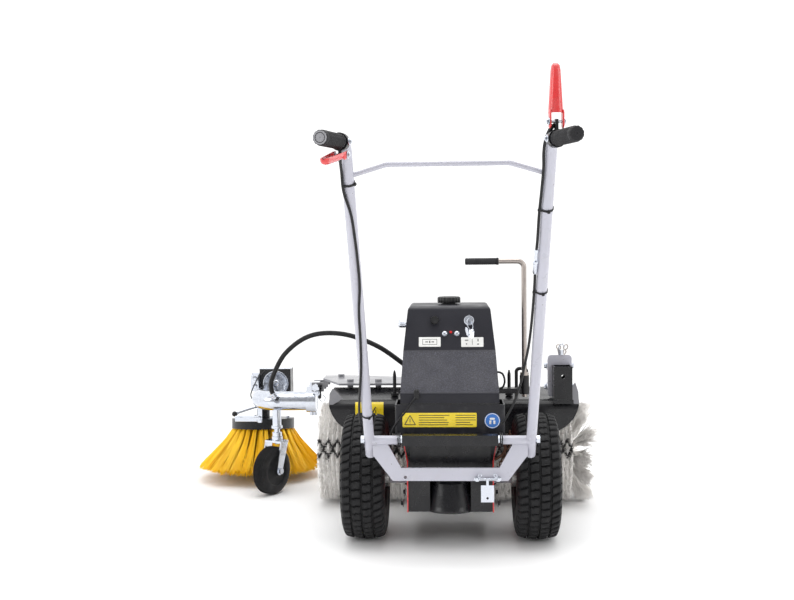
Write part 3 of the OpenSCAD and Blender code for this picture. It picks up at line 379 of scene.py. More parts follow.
# %% Enamels
def shade(colour, share):
    """A colour made darker or lighter by a share."""
    return tuple(min(1.0, c * (1 + share)) for c in colour)


def painted(name, colour, rough, coat, chips, peel=0.35, dust=0.15, specular=0.5):
    """Sprayed paint: a faint orange peel, dust that dulls its gloss, and small chips."""
    f = Finish(name, rough, coat=coat, specular=specular)
    base = f.mix(f.noise(7), shade(colour, -0.10), shade(colour, 0.06))
    dusty = f.mix(f.ramp(f.noise(38, 6), 0.52, 0.75, 0, dust), base, (0.42, 0.40, 0.38))
    chipped = f.mix(f.ramp(f.noise(150, 8), 0.70, 0.72), dusty, chips)
    f.colour(chipped).gloss(f.noise(24, 5), rough * 0.75, rough * 1.45)
    f.grain((f.noise(420, 2), 0.12, peel), (f.noise(60, 2), 0.3, peel * 0.5))
    return f.material


light_grey = painted("light_grey_enamel", (0.48, 0.48, 0.55), 0.30, 0.5, (0.20, 0.19, 0.19),
                     peel=0.12)
plate_grey = painted("grey_plate_enamel", (0.24, 0.24, 0.26), 0.34, 0.3, (0.12, 0.12, 0.12))
signal_red = painted("red_enamel", (0.68, 0.030, 0.032), 0.26, 0.6, (0.10, 0.02, 0.02))
satin_black = painted("satin_black_enamel", (0.008, 0.008, 0.010), 0.26, 0.1, (0.04, 0.04, 0.04),
                      dust=0.02, specular=0.35)
rim_grey = painted("rim_enamel", (0.42, 0.42, 0.45), 0.32, 0.4, (0.15, 0.14, 0.13))
ENAMELS = (light_grey, plate_grey, signal_red, satin_black, rim_grey)
print("enamels:", *(enamel.name for enamel in ENAMELS))

# %% [markdown]
# ## Zinc, bare steel and cast alloy
# Hot-dip zinc freezes in large flat crystals, each with its own tone and a faint blue, so
# its colour follows random cells. Bright plated fasteners are finer. Drawn bar shows
# streaks along its length, and a casting has a coarse sandy skin.

# %% Metals
def zinc_coat(name, crystals, rough):
    """Zinc in crystals this many to the metre, with a little white bloom."""
    f = Finish(name, rough, metal=1.0)
    cell = f.cells(crystals)
    tone = f.node("ShaderNodeSeparateColor", [("Color", cell.outputs["Color"])]).outputs[0]
    base = f.mix(tone, (0.58, 0.61, 0.68), (0.68, 0.71, 0.77))
    bloom = f.mix(f.ramp(f.noise(26, 6), 0.55, 0.75, 0, 0.2), base, (0.60, 0.61, 0.64))
    f.colour(bloom).gloss(tone, rough * 0.8, rough * 1.6)
    f.grain((f.noise(70, 2), 0.05, 0.2), (f.noise(600, 2), 0.01, 0.2))
    return f.material


def drawn_steel(name, colour, rough, stretch):
    """Bar or machined steel with fine streaks along the stretched axis."""
    f = Finish(name, rough, metal=1.0)
    streak = f.noise(900, 3, stretch)
    base = f.mix(streak, shade(colour, -0.22), shade(colour, 0.12))
    stain = f.mix(f.ramp(f.noise(18, 5), 0.56, 0.8, 0, 0.6), base, shade(colour, -0.5))
    f.colour(stain).gloss(streak, rough * 0.8, rough * 1.4).grain((streak, 0.03, 0.4))
    return f.material


def cast_alloy(name, colour, rough):
    """A sand casting: a matt, pitted skin."""
    f = Finish(name, rough, metal=0.9)
    base = f.mix(f.noise(40, 5), shade(colour, -0.2), shade(colour, 0.1))
    f.colour(base).gloss(f.noise(80), rough * 0.8, rough * 1.3)
    f.grain((f.noise(500, 4), 0.2, 0.5))
    return f.material


hot_zinc = zinc_coat("galvanised_zinc", 120, 0.15)
bright_zinc = zinc_coat("bright_zinc_plate", 600, 0.17)
crank_steel = drawn_steel("drawn_bar_steel", (0.46, 0.41, 0.38), 0.30, (1, 1, 0.04))
axle_steel = drawn_steel("turned_axle_steel", (0.50, 0.49, 0.48), 0.28, (0.04, 1, 1))
engine_alloy = cast_alloy("cast_engine_alloy", (0.52, 0.52, 0.53), 0.5)
rusty = Finish("browned_chain_steel", 0.55, metal=0.8)
rusty.colour(rusty.mix(rusty.noise(160, 6), (0.045, 0.022, 0.016), (0.13, 0.065, 0.042)))
rusty.gloss(rusty.noise(90), 0.4, 0.75).grain((rusty.noise(700, 4), 0.15, 0.6))
chain_brown = rusty.material
METALS = (hot_zinc, bright_zinc, crank_steel, axle_steel, engine_alloy, chain_brown)
print("metals:", *(metal.name for metal in METALS))

# %% [markdown]
# ## Moulded plastics
# The engine hood's sloped back is moulded with a pebble texture, and the pebbles' tops are
# painted lighter than the hood as a painted highlight, while its panel and sides are smooth.
# The height on the machine tells the two apart, so the pebbles fade out at the panel's lower
# edge. The smaller mouldings have an even grain.

# %% Plastics
def moulded(name, colour, rough, texture=220, depth=0.08, specular=0.35):
    """Moulded plastic with an even fine grain."""
    f = Finish(name, rough, specular=specular)
    base = f.mix(f.noise(12, 3), shade(colour, -0.12), shade(colour, 0.12))
    dusty = f.mix(f.ramp(f.noise(48, 6), 0.55, 0.8, 0, 0.08), base, (0.30, 0.29, 0.28))
    f.colour(dusty).gloss(f.noise(30, 4), rough * 0.85, rough * 1.3)
    f.grain((f.cells(texture * 4).outputs["Distance"], depth, 0.5),
            (f.noise(texture, 2), depth, 0.3))
    return f.material


def hood_skin(name, colour):
    """Moulded hood: pebbles between its rear lip and the panel, smooth above and beside. The
    mask is 1 on the slope, and fades out at the lip, at the panel and on the flanks."""
    f = Finish(name, 0.42, specular=0.3)
    lip_z, panel_z, flank_y, fade = 0.404, 0.503, -0.035, 0.005
    _, y, z = f.node("ShaderNodeSeparateXYZ", [("Vector", f.place)]).outputs

    def times(a, b):
        """The product of two outputs."""
        return f.node("ShaderNodeMath", [(0, a), (1, b)], operation="MULTIPLY").outputs[0]

    on_slope = times(f.ramp(z, lip_z, lip_z + fade), f.ramp(z, panel_z, panel_z - fade))
    mask = times(on_slope, f.ramp(y, flank_y, flank_y - 2 * fade))
    pebble = f.cells(330, smooth=0.35).outputs["Distance"]
    raised = times(pebble, mask)
    smooth_skin = f.mix(f.noise(14), shade(colour, -0.15), shade(colour, 0.15))
    # Painted highlight: the pebbles' tops are painted 4.6 times as light as the hood's colour and
    # their edges 1.4 times, so the slope looks lit.
    pebble_highlight = f.mix(f.ramp(pebble, 0.05, 0.5), shade(colour, 3.6), shade(colour, 0.4))
    f.colour(f.mix(mask, smooth_skin, pebble_highlight)).gloss(f.noise(24, 4), 0.34, 0.52)
    f.grain((raised, -0.9, 0.9), (f.noise(900, 2), 0.06, 0.35))
    return f.material


hood_black = hood_skin("pebbled_hood_moulding", (0.018, 0.018, 0.024))
case_black = moulded("black_case_moulding", (0.013, 0.013, 0.017), 0.36)
knob_black = moulded("black_knob_moulding", (0.012, 0.012, 0.013), 0.30, 400, 0.04)
battery_blue = moulded("battery_case_moulding", (0.03, 0.04, 0.09), 0.35)
barrel_grey = moulded("grey_cap_moulding", (0.30, 0.30, 0.32), 0.4)
print("plastics:", hood_black.name, case_black.name, knob_black.name, battery_blue.name)

# %% [markdown]
# ## Rubber, bristles and film
# Rubber is matt with a dusty bloom. Bristles take a second colour where the tint attribute
# says so, which draws the dark rows in the roller and painted shade in the side brush's heart.
# Labels and lenses are smooth printed film.

# %% Rubber, bristles and film
def rubber(name, colour, rough, grit=700):
    """Moulded rubber: matt, with a dusty bloom and a fine grit."""
    f = Finish(name, rough, specular=0.22)
    base = f.mix(f.noise(16, 4), shade(colour, -0.2), shade(colour, 0.25))
    dust = f.mix(f.ramp(f.noise(70, 7), 0.5, 0.8, 0, 0.12), base, (0.12, 0.115, 0.11))
    f.colour(dust).gloss(f.noise(40, 4), rough * 0.85, min(1.0, rough * 1.25))
    f.grain((f.noise(grit, 3), 0.12, 0.5))
    return f.material


def bristle(name, colour, tip, dark, rough=0.45):
    """Crimped plastic bristle: streaky colour, dark where the tint is 1."""
    f = Finish(name, rough, sheen=0.1)
    strand = f.mix(f.noise(260, 3), colour, tip)
    # The dark colour draws the roller's real dark bristle rows, and painted shade in the side brush's
    # heart.
    tint = f.node("ShaderNodeAttribute", attribute_name="tint").outputs["Fac"]
    f.colour(f.mix(tint, strand, dark)).gloss(f.noise(120), rough * 0.8, rough * 1.3)
    f.grain((f.noise(800, 2), 0.1, 0.4))
    return f.material


def printed(name, colour, rough=0.32):
    """Printed film: smooth, with a faint ripple where it was rubbed down."""
    f = Finish(name, rough, coat=0.3)
    f.colour(f.mix(f.noise(30, 4), shade(colour, -0.08), shade(colour, 0.03)))
    f.gloss(f.noise(60), rough * 0.8, rough * 1.3).grain((f.noise(45, 2), 0.12, 0.25))
    return f.material


tyre_black = rubber("tyre_rubber", (0.013, 0.013, 0.014), 0.55)
grip_black = rubber("grip_rubber", (0.022, 0.022, 0.024), 0.5, 1200)
cable_black = rubber("cable_sheath", (0.012, 0.012, 0.013), 0.38, 1500)
off_white = bristle("off_white_bristle", (0.84, 0.81, 0.78), (0.97, 0.96, 0.94),
                    (0.012, 0.012, 0.012))
# The yellow bristles' dark colour is painted shade, used only on the side brush's heart.
amber = bristle("yellow_bristle", (1.0, 0.56, 0.002), (1.0, 0.70, 0.008), (0.20, 0.08, 0.0))
label_yellow = printed("yellow_film", (0.95, 0.72, 0.02))
label_white = printed("white_film", (0.80, 0.80, 0.78))
label_blue = printed("blue_film", (0.02, 0.16, 0.55))
ink_black = printed("black_ink", (0.015, 0.015, 0.015), 0.4)
lamp_red = printed("red_lens", (0.65, 0.02, 0.02), 0.15)
print("materials so far:", len(bpy.data.materials))

# %% [markdown]
# ## Paint the steel parts
# Many parts of the frame already have their true shape, such as the bent tubes, the folded
# plates and the bolts. They stay as they are and only take a finish.

# %% Finishes for the frame's own parts
FINISH_OF = {
    light_grey: ["gearbox", "left_handle_tube", "right_handle_tube", "handle_crossbar",
                 "lower_yoke", "post_bracket"],
    plate_grey: ["arm_plate"],
    signal_red: ["side_plates", "left_lever", "right_lever"],
    satin_black: ["rear_housing", "bell_housing", "handle_mount", "deck_plate", "nose_beam",
                  "lever_bush", "brush_hood", "head_gearbox", "accessory_post", "stop_studs",
                  "shaft_takeoff", "side_drive", "side_disc", "roller_shaft", "lever_brackets"],
    hood_black: ["engine_hood"],
    case_black: ["battery_box", "fuel_tank", "fuel_cap", "choke_knob"],
    battery_blue: ["battery"],
    engine_alloy: ["engine_block"],
    bright_zinc: ["pivot_bolts", "panel_fittings", "key", "latch_pedal", "post_clip",
                  "tilt_lever", "caster_stem", "caster_fork"],
    hot_zinc: ["arm_clamp", "arm_tube"],
    crank_steel: ["swivel_rod"],
    axle_steel: ["left_axle", "right_axle"],
    rim_grey: ["left_rim", "right_rim"],
    tyre_black: ["left_tyre", "right_tyre", "caster_wheel"],
    grip_black: ["left_grip", "right_grip", "swivel_grip"],
    cable_black: ["left_cable", "right_cable", "cable_ties", "flex_shaft"],
    off_white: ["left_bristles", "right_bristles"],
    amber: ["side_bristles"],
}
for material, names in FINISH_OF.items():
    for name in names:
        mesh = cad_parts[name].data
        mesh.materials.clear()
        mesh.materials.append(material)
print("painted", sum(len(names) for names in FINISH_OF.values()), "of", len(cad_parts))

# %% [markdown]
# ## Tyres
# A tyre is its cross-section turned round the axle, with the tread cut into it. The section
# runs from bead to bead over the tread. Where the radius is near its largest, three grooves
# run round, and slanted ones cross the four ribs between them into blocks. Neighbouring
# ribs are half a block out of step, and the slant bends away from the middle.

# %% Drive tyres
TYRE_R, TYRE_HALF, RIM_R = 165.0, 57.5, 80.0
HALF_TRACK = 225.0
GROOVES = np.array([-27.0, 0.0, 27.0])
BLOCKS = 46
TREAD_HALF, TREAD_DEPTH, SIPE_DEPTH = 50.0, 6.5, 1.2


def smooth_step(x, low, high):
    """0 below low, 1 above high, and a cubic between them."""
    t = np.clip((x - low) / (high - low), 0, 1)
    return t * t * (3 - 2 * t)


def tyre_section():
    """The section's points (across, radius), from the right bead over the crown to the left
    one. The crown drops by 7.5 mm times the share of its half width to the power 2.6."""
    side = curve([(46, RIM_R + 0.5), (52, 88), (54, 100), (57.5, 117), (57.3, 134), (54.5, 147),
                  (50.5, 156)], 5)
    across = np.linspace(49, -49, 76)
    crown = np.stack([across, TYRE_R - 7.5 * (np.abs(across) / TREAD_HALF) ** 2.6], 1)
    bead = np.stack([np.linspace(-44, 44, 5), np.full(5, RIM_R + 0.3)], 1)
    return np.vstack([side, crown, side[::-1] * [-1, 1], bead])


def tread_cut(v, r, a):
    """The depth cut at each point across (v) and angle (a): the tread's depth wherever the
    distance to the nearest groove is under its half width, and less in the thin sipes that
    split each block."""
    on_tread = smooth_step(r, 143, 150)[:, None]
    ring_gap = np.abs(v[:, None] - GROOVES).min(axis=1)
    rib = np.searchsorted(GROOVES, v)
    phase = a[None] * BLOCKS / (2 * math.pi) + (rib % 2)[:, None] * 0.5
    phase = phase + 0.55 * np.sign(v)[:, None] * (np.abs(v)[:, None] / TREAD_HALF) ** 1.6
    block = 2 * math.pi * TYRE_R / BLOCKS
    inner_rib = (np.abs(v) < GROOVES[-1])[:, None]
    cut_round = (1 - smooth_step(ring_gap, 1.8, 3.4))[:, None] * (np.abs(v) < TREAD_HALF)[:, None]
    cut_across = 1 - smooth_step(np.abs((phase % 1) - 0.5) * block,
                                 np.where(inner_rib, 1.2, 1.9), np.where(inner_rib, 2.6, 3.6))
    sipe = 1 - smooth_step(np.abs(((phase * 2) % 1) - 0.5) * block / 2, 0.4, 1.2)
    return on_tread * np.maximum(TREAD_DEPTH * np.maximum(cut_round, cut_across),
                                 SIPE_DEPTH * sipe)


def tyre_shape(middle, turns=552):
    """Turns the section round X: (across, (r - cut) cos a, (r - cut) sin a). Two thin ridges
    run round each side wall, at radius 128 and 96."""
    v, r = tyre_section().T
    a = np.linspace(0, 2 * math.pi, turns, endpoint=False)
    radius = r[:, None] - tread_cut(v, r, a)
    ridge = np.exp(-((r - 128) / 1.6) ** 2) + np.exp(-((r - 96) / 1.4) ** 2)
    x = v + np.sign(v) * np.minimum(ridge * 0.8, TYRE_HALF - np.abs(v))
    points = np.stack([
        np.broadcast_to(x[:, None], radius.shape), radius * np.cos(a), radius * np.sin(a)
    ], axis=-1)
    return grid(points + np.asarray(middle, dtype=float), wrap_u=True)


for side, s in SIDES:
    put(side + "_tyre_tread", tyre_shape((s * HALF_TRACK, 0, AXLE_Z)), tyre_black,
        side + "_wheel", [side + "_tyre"], crease=50)

# %% [markdown]
# The rims are bolted to their hubs with four wheel bolts each, and a valve stands in the
# dish. They are turned shapes: a hexagon head on a washer, and a short rubber stem.

# %% Wheel bolts and valves
def bolt(start, axis, across=13.0, head=6.0, washer=True):
    """A hexagon head with a bevelled top, on a round washer. Its corners lie at the width
    across the flats divided by the square root of 3."""
    axis = unit(axis)
    u, v = square_to(axis)
    start = np.asarray(start, dtype=float)
    r = across / math.sqrt(3)
    lift = 1.6 if washer else 0.0
    shapes = [slab(ngon(r, 6), [(0.3, lift), (0, lift + 0.6), (0, lift + head - 1.2),
                                (r * 0.14, lift + head)], start, u, v)]
    if washer:
        rim = across * 0.96
        shapes.append(turned([(0, 0), (0, across * 0.92), (0.3, rim), (1.4, rim),
                              (1.6, across * 0.9), (1.6, 0)], start, axis, 24))
    return merged(shapes)


for side, s in SIDES:
    hub = np.array([s * HALF_TRACK, 0, AXLE_Z])
    around = [math.radians(45 + 90 * k) for k in range(4)]
    shapes = [bolt(hub + [s * 6, 43 * math.cos(a), 43 * math.sin(a)], [s, 0, 0], 15, 8)
              for a in around]
    stem = hub + [s * 2, 52 * math.cos(0.4), 52 * math.sin(0.4)]
    put(side + "_wheel_bolts", merged(shapes), bright_zinc, side + "_wheel")
    put(side + "_valve", turned([(0, 0), (0, 5), (6, 4.4), (12, 3.6), (20, 3.4), (20, 4), (26, 4),
                                 (27, 3.2), (27, 0)], stem, [s, -0.2, -0.1], 18),
        grip_black, side + "_wheel")

# %% [markdown]
# ## Handle grips
# The grips are soft rubber sleeves with raised rings and lengthwise finger flutes, and a
# rounded rim at the far end. A profile with one small bump for each ring is turned round the
# grip's own direction, which splays outwards and dips a little. That direction, and the place
# where the tube's bend ends, are worked out here for the levers and screws as well.

# %% Grips
LEAN, SPLAY, DIP = math.radians(36.9), math.radians(10.5), math.radians(2)
UP_TUBE = np.array([0, -math.sin(LEAN), math.cos(LEAN)])
PIVOT = np.array([0, -200.0, 297.0])
TUBE_L, BEND_R, GRIP_GAP, GRIP_L, GRIP_R = 825.0, 45.0, 22.0, 115.0, 15.5


def on_tube(s, t, across=0.0, out=0.0):
    """A point t along the left (s = -1) or right (s = 1) tube from its pivot, moved to the
    right by across, and away behind the tube by out."""
    behind = np.array([0, -math.cos(LEAN), -math.sin(LEAN)])
    return PIVOT + np.array([s * 199.0 + across, 0, 0]) + t * UP_TUBE + out * behind


def grip_direction(s):
    """The way a grip points: outwards by the splay, and down by the dip."""
    return np.array([s * math.sin(SPLAY) * math.cos(DIP), -math.cos(SPLAY) * math.cos(DIP),
                     -math.sin(DIP)])


def bend_end(s):
    """Where a tube's bend ends: its ring's middle, less the ring's radius turned by the bend."""
    g = grip_direction(s)
    c = float(UP_TUBE @ g)
    inward = unit(g - c * UP_TUBE)
    a = math.acos(c)
    return on_tube(s, TUBE_L) + BEND_R * inward - BEND_R * (math.cos(a) * inward
                                                           - math.sin(a) * UP_TUBE)


def ribbed(length, r, pitch, rib):
    """A sleeve's profile: r less rib, plus a bump every pitch, which is the positive half of
    a cosine to the power 0.6."""
    h = np.linspace(0, length, int(length / pitch) * 8)
    bump = rib * np.maximum(0, np.cos(2 * math.pi * h / pitch)) ** 0.6
    return np.stack([h, r - rib + bump], 1)


for side, s in SIDES:
    start = bend_end(s) + GRIP_GAP * grip_direction(s)
    sleeve = ribbed(GRIP_L - 20, GRIP_R - 0.4, 5.6, 1.3) + [8, 0]
    profile = np.vstack([[(0, 0), (0, 13.4), (0, GRIP_R - 0.3), (1, GRIP_R), (5, GRIP_R),
                          (6, GRIP_R - 1.5)], sleeve,
                         [(GRIP_L - 11, GRIP_R - 0.6), (GRIP_L - 4, GRIP_R - 0.8),
                          (GRIP_L - 1, GRIP_R - 2.4), (GRIP_L, GRIP_R - 5), (GRIP_L - 1.5, 5),
                          (GRIP_L - 1.5, 0)]])
    put(side + "_grip_sleeve", turned(profile, start, grip_direction(s), 72, 12, 0.7), grip_black,
        "handle", [side + "_grip"])

# %% [markdown]
# ## Control cables
# Two thin sheathed cables run from the levers down behind the tubes, held by straps, to the
# foot of the handle. Each is a circle carried along a smooth curve through points on its
# run: how far up the tube, how far to the right of it and how far behind it. Each starts in
# a rubber boot, and the right one has a bright adjuster with a lock nut in its run.

# %% Cables and the adjuster
CABLE_R = 3.0
LEFT_ROUTE = [(790, -10, 14), (745, -9, 14.6), (690, 2, 16), (630, 6, 15), (570, 8, 14),
              (500, 8, 14), (430, 2, 16), (340, 0, 16), (260, -4, 15), (180, -12, 12),
              (110, -18, 4), (60, -18, -2)]
RIGHT_ROUTE = [(790, -13, 11), (740, -14, 10), (680, -15.6, 6.6), (620, -16, 8), (560, -17, 6),
               (490, -16, 5.5), (400, -17, 5), (320, -20, 2), (250, -26, -4), (180, -34, -8),
               (110, -48, -12), (50, -72, -6)]
LEFT_TOP = [(-206.5, -738, 952), (-207, -729, 948), (-208.5, -712, 939)]
RIGHT_TOP = [(203, -737, 1003), (194, -733, 992), (186, -722, 972), (184.5, -704, 951)]
for side, s, top, route in (("left", -1, LEFT_TOP, LEFT_ROUTE),
                            ("right", 1, RIGHT_TOP, RIGHT_ROUTE)):
    path = curve(top + [on_tube(s, *p) for p in route], 8)
    span = np.linalg.norm(np.diff(path, axis=0), axis=1).sum()
    print(side, "cable length", round(span), "mm")
    boot = path[3:17]
    put(side + "_cable_boot", tube(boot, np.linspace(4.6, 3.4, len(boot)), 16), knob_black,
        "handle")
    put(side + "_cable_run", tube(path, CABLE_R, 14), cable_black, "handle",
        [side + "_cable"])

held_run = curve([on_tube(1, *p) for p in RIGHT_ROUTE], 8)
foot, ahead = held_run[28], held_run[35]
barrel = [(0, 0), (0, 3.4), (2, 4.4), (8, 4.4), (8, 3.6), (30, 3.6), (30, 6.2), (31, 6.6),
          (35, 6.6), (36, 6.2), (36, 5), (62, 5), (64, 4), (66, 3.4), (66, 0)]
put("cable_adjuster", turned(barrel, foot, ahead - foot, 28), bright_zinc, "handle")

# %% [markdown]
# Each strap is a belt drawn tight round a tube and its cable. In every direction it lies on
# whichever of the two circles is further out, and a little smoothing bridges the hollow
# between them. Its square head sits on the outside.

# %% Straps
BELT_R, BELT_HALF, BELT_T = 12.9, 2.4, 1.1


def strap(s, t, cable):
    """A belt round the tube and a cable at (across, out): its reach in each direction is the
    tube's radius or the far crossing with the cable's circle, whichever is more."""
    a = np.linspace(0, 2 * math.pi, 56, endpoint=False)
    across, out = np.cos(a), np.sin(a)
    behind = unit(on_tube(s, t, 0, 1) - on_tube(s, t))
    far = np.hypot(*cable)
    along = (across * cable[0] + out * cable[1]) / far
    off = np.abs(across * cable[1] - out * cable[0])
    reach = far * along + np.sqrt(np.maximum((CABLE_R + 0.4) ** 2 - off**2, 0))
    r = np.where(off < CABLE_R + 0.4, np.maximum(reach, BELT_R), BELT_R)
    r = (np.roll(r, 1) + 2 * r + np.roll(r, -1)) / 4
    rows = []
    for h, grow in ((-BELT_HALF, 0), (-BELT_HALF, BELT_T), (BELT_HALF, BELT_T), (BELT_HALF, 0)):
        ring = ((r + grow) * across)[:, None] * X + ((r + grow) * out)[:, None] * behind
        rows.append(on_tube(s, t) + h * UP_TUBE + ring)
    return grid(np.stack(rows), wrap_u=True)


def lug(s, t, angle):
    """The strap's small square head with its cut tail."""
    behind = unit(on_tube(s, t, 0, 1) - on_tube(s, t))
    way = math.cos(angle) * X + math.sin(angle) * behind
    side = np.cross(UP_TUBE, way)
    return plate(rounded(6, 6.4, 1), 4.5, on_tube(s, t) + 13 * way, side, UP_TUBE, 0.5)


straps = [strap(-1, 757, (-9, 14.6)), strap(-1, 92, (-18, 2)), strap(1, 690, (-15.6, 7)),
          strap(1, 475, (-16, 5.5))]
lugs = [lug(-1, 757, 0.4), lug(-1, 92, 1.2), lug(1, 690, 1.4), lug(1, 475, 1.4)]
put("cable_straps", merged(straps + lugs), cable_black, "handle", ["cable_ties"])

# %% [markdown]
# ## Roller brush
# The roller is built from ring brushes threaded on a shaft: each ring's bristles stand out
# like a fan, so from behind they show as upright bundles. Thousands of single bristles would
# be heavy, so each is only a three-sided prism. A tuft holds a few of them, and a few
# variants of it are copied all over the roller at once by multiplying arrays.

# %% Tufts
ROLLER = np.array([10.0, 400.0, 150.0])
ROLLER_R, ROOT_R, PACKED_R, CORE_R = 149.4, 118.0, 124.0, 56.0


def prism_faces(steps, count):
    """Triangles of count three-sided prisms with so many rings of points each: two for each
    side of each stretch, and one over each end."""
    i, j = np.meshgrid(np.arange(steps - 1), np.arange(3), indexing="ij")
    i, j, k = 3 * i.ravel(), j.ravel(), (j.ravel() + 1) % 3
    sides = triangles(np.stack([i + j, i + k, i + 3 + k, i + 3 + j], 1))
    one = np.vstack([sides, [[0, 2, 1], [3 * steps - 3, 3 * steps - 2, 3 * steps - 1]]])
    return (one[None] + 3 * steps * np.arange(count)[:, None, None]).reshape(-1, 3)


def tuft(count, length, spread, width, rng):
    """Bristles from about one root: each is a thin three-sided prism from height 0 to its
    length, that leans out by a random share of the spread and thins at its tip."""
    base = rng.normal(0, spread * 0.22, (count, 2))
    tip = base * 0.6 + rng.normal(0, spread * 0.32, (count, 2))
    high = length * rng.uniform(0.9, 1.0, count)
    levels = np.array([0.0, 0.55, 1.0])
    c, s = circle(3)
    turn = rng.uniform(0, 2 * math.pi, count)[:, None]
    ring = np.stack([c * np.cos(turn) - s * np.sin(turn), c * np.sin(turn) + s * np.cos(turn)], -1)
    bow = levels**1.6
    middle = base[:, None] + (tip - base)[:, None] * bow[None, :, None]
    wide = width * (1 - 0.45 * levels)
    flat = middle[:, :, None] + ring[:, None] * wide[None, :, None, None] / 2
    z = (high[:, None] * levels)[:, :, None, None] * np.ones((1, 1, 3, 1))
    return np.concatenate([flat, z], axis=-1).reshape(-1, 3), prism_faces(3, count)


def prisms(lines, radii, ref):
    """Three-sided bristles along many lines at once: point = line + radius * (cos a u + sin a v),
    where u and v are square to each line. Lines are indexed by bristle, then by step."""
    along = unit(np.gradient(lines, axis=1))
    u = unit(np.cross(along, ref))
    v = np.cross(along, u)
    c, s = circle(3)
    ring = c[:, None] * u[:, :, None] + s[:, None] * v[:, :, None]
    points = lines[:, :, None] + radii[None, :, None, None] * ring
    return points.reshape(-1, 3), prism_faces(lines.shape[1], len(lines))


print("a tuft of 5 bristles has", len(prism_faces(3, 5)), "triangles")

# %% [markdown]
# A tuft is made once at the origin, standing up, and then it is planted in many places. Each
# place has its own three directions, so all copies of a variant come from one product of
# two arrays: the tuft's points and the places' directions.

# %% Planting tufts
def planted(tufts, roots, ups, turns, scale):
    """Copies of the tufts: point = root + scale * (x side + y other + z up), where side and
    other are square to up and turned about it. Copy i is of tuft i modulo their number."""
    ref = np.where(np.abs(ups[:, :1]) < 0.9, X, Y)
    side = unit(np.cross(ref, ups))
    other = np.cross(ups, side)
    c, s = np.cos(turns)[:, None], np.sin(turns)[:, None]
    basis = np.stack([c * side + s * other, c * other - s * side, ups], axis=1)
    shapes, owners = [], []
    for k, (points, faces) in enumerate(tufts):
        pick = np.arange(k, len(roots), len(tufts))
        moved = np.einsum("pk,nkx->npx", points, basis[pick] * scale[pick, None, None])
        moved = moved + roots[pick, None]
        count = faces[None] + len(points) * np.arange(len(pick))[:, None, None]
        shapes.append((moved.reshape(-1, 3), count.reshape(-1, 3)))
        owners.append(np.repeat(pick, len(points)))
    return merged(shapes), np.concatenate(owners)


trial = planted([tuft(5, 30, 10, 2.7, np.random.default_rng(1))], np.zeros((4, 3)),
                np.tile(Z, (4, 1)), np.zeros(4), np.ones(4))
print("four planted tufts have", len(trial[0][1]), "triangles")

# %% [markdown]
# ## The roller's two halves
# Under the tufts a closed body stands for the packed bristles. It bulges at each ring brush
# and is roughened at random. Tufts near a half's ends lean outwards. Dark bristles follow two
# zigzag lines, which the tint draws on the body and on the tufts alike.

# %% Roller halves
RINGS, TUFTS_ROUND = 28, 62


def zigzag_tint(rings, phi):
    """1 on two dark rows that zigzag from ring to ring and meet in a lattice: where the angle
    round the roller is near either of two triangle waves, once on each half turn."""
    wave = np.abs(((rings / 2 + 0.25) % 1) - 0.5) * 2
    turn = np.mod(phi + math.radians(14), math.pi) - math.radians(14)
    rows = [np.radians(3.5 + 9 * wave), np.radians(24 - 9 * wave)]
    near = np.minimum(np.abs(turn - rows[0]), np.abs(turn - rows[1]))
    return (near < math.radians(3.0)).astype(float)


def packed_body(x0, x1, rng):
    """The closed body: (x, -r cos phi, r sin phi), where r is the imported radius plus 9 mm
    times the size of a sine that has one bulge to a ring. Its ends are ruffled discs."""
    pitch = (x1 - x0) / RINGS
    turns = 150
    xs = np.linspace(x0, x1, RINGS * 6 + 1)
    phi = np.linspace(0, 2 * math.pi, turns, endpoint=False)
    bulge = 9 * np.abs(np.sin(math.pi * (xs - x0) / pitch))
    r = (PACKED_R + bulge)[:, None] + 2.2 * rng.uniform(-1, 1, (len(xs), turns))
    disc_r = np.array([CORE_R, 70, 90, 110, 120])[:, None]
    ruffle = 2.5 * np.cos(phi * 50)[None] * (disc_r - CORE_R) / 70
    near = np.stack([x0 + 3 + ruffle, -disc_r * np.cos(phi), disc_r * np.sin(phi)], -1)
    far = np.stack([x1 - 3 + ruffle, -disc_r * np.cos(phi), disc_r * np.sin(phi)], -1)[::-1]
    skin = np.stack([np.broadcast_to(xs[:, None], r.shape), -r * np.cos(phi), r * np.sin(phi)], -1)
    points, quads = grid(np.concatenate([near, skin, far]), wrap_u=True)
    tint = zigzag_tint((points[:, 0] - x0) / pitch, np.arctan2(points[:, 2], -points[:, 1]))
    on_skin = np.hypot(points[:, 1], points[:, 2]) > 121
    return (points, triangles(quads)), tint * on_skin


def roller_tufts(x0, x1, rng):
    """Tufts on each ring, every second ring half a step round. Each stands on the root circle
    along the radius, plus a lean along the shaft that grows over the last 60 mm."""
    pitch = (x1 - x0) / RINGS
    ring, step = np.meshgrid(np.arange(RINGS), np.arange(TUFTS_ROUND), indexing="ij")
    ring, step = ring.ravel(), step.ravel()
    angle = 2 * math.pi * (step + 0.5 * (ring % 2)) / TUFTS_ROUND
    angle = angle + rng.normal(0, 0.012, len(ring))
    x = x0 + pitch * (ring + 0.5) + rng.normal(0, 1.2, len(ring))
    out = np.stack([np.zeros(len(ring)), -np.cos(angle), np.sin(angle)], 1)
    lean = rng.normal(0, 0.05, len(ring))
    edge = np.clip(1 - np.minimum(x - x0, x1 - x) / 60, 0, 1)
    toward = np.where(x - x0 < x1 - x, -1.0, 1.0)
    lean = lean + edge * toward * rng.uniform(0.1, 0.35, len(ring))
    lean = np.where((x + 26 * lean > x1 - 2) | (x + 26 * lean < x0 + 2), 0, lean)
    ups = unit(out + lean[:, None] * X)
    roots = x[:, None] * X + ROOT_R * out
    variants = [tuft(5, ROLLER_R - ROOT_R, 10.5, 2.7, rng) for _ in range(7)]
    shape, owner = planted(variants, roots, ups, rng.uniform(0, 6.28, len(x)),
                           rng.uniform(0.9, 1.0, len(x)))
    return shape, zigzag_tint((x - x0) / pitch, angle)[owner]


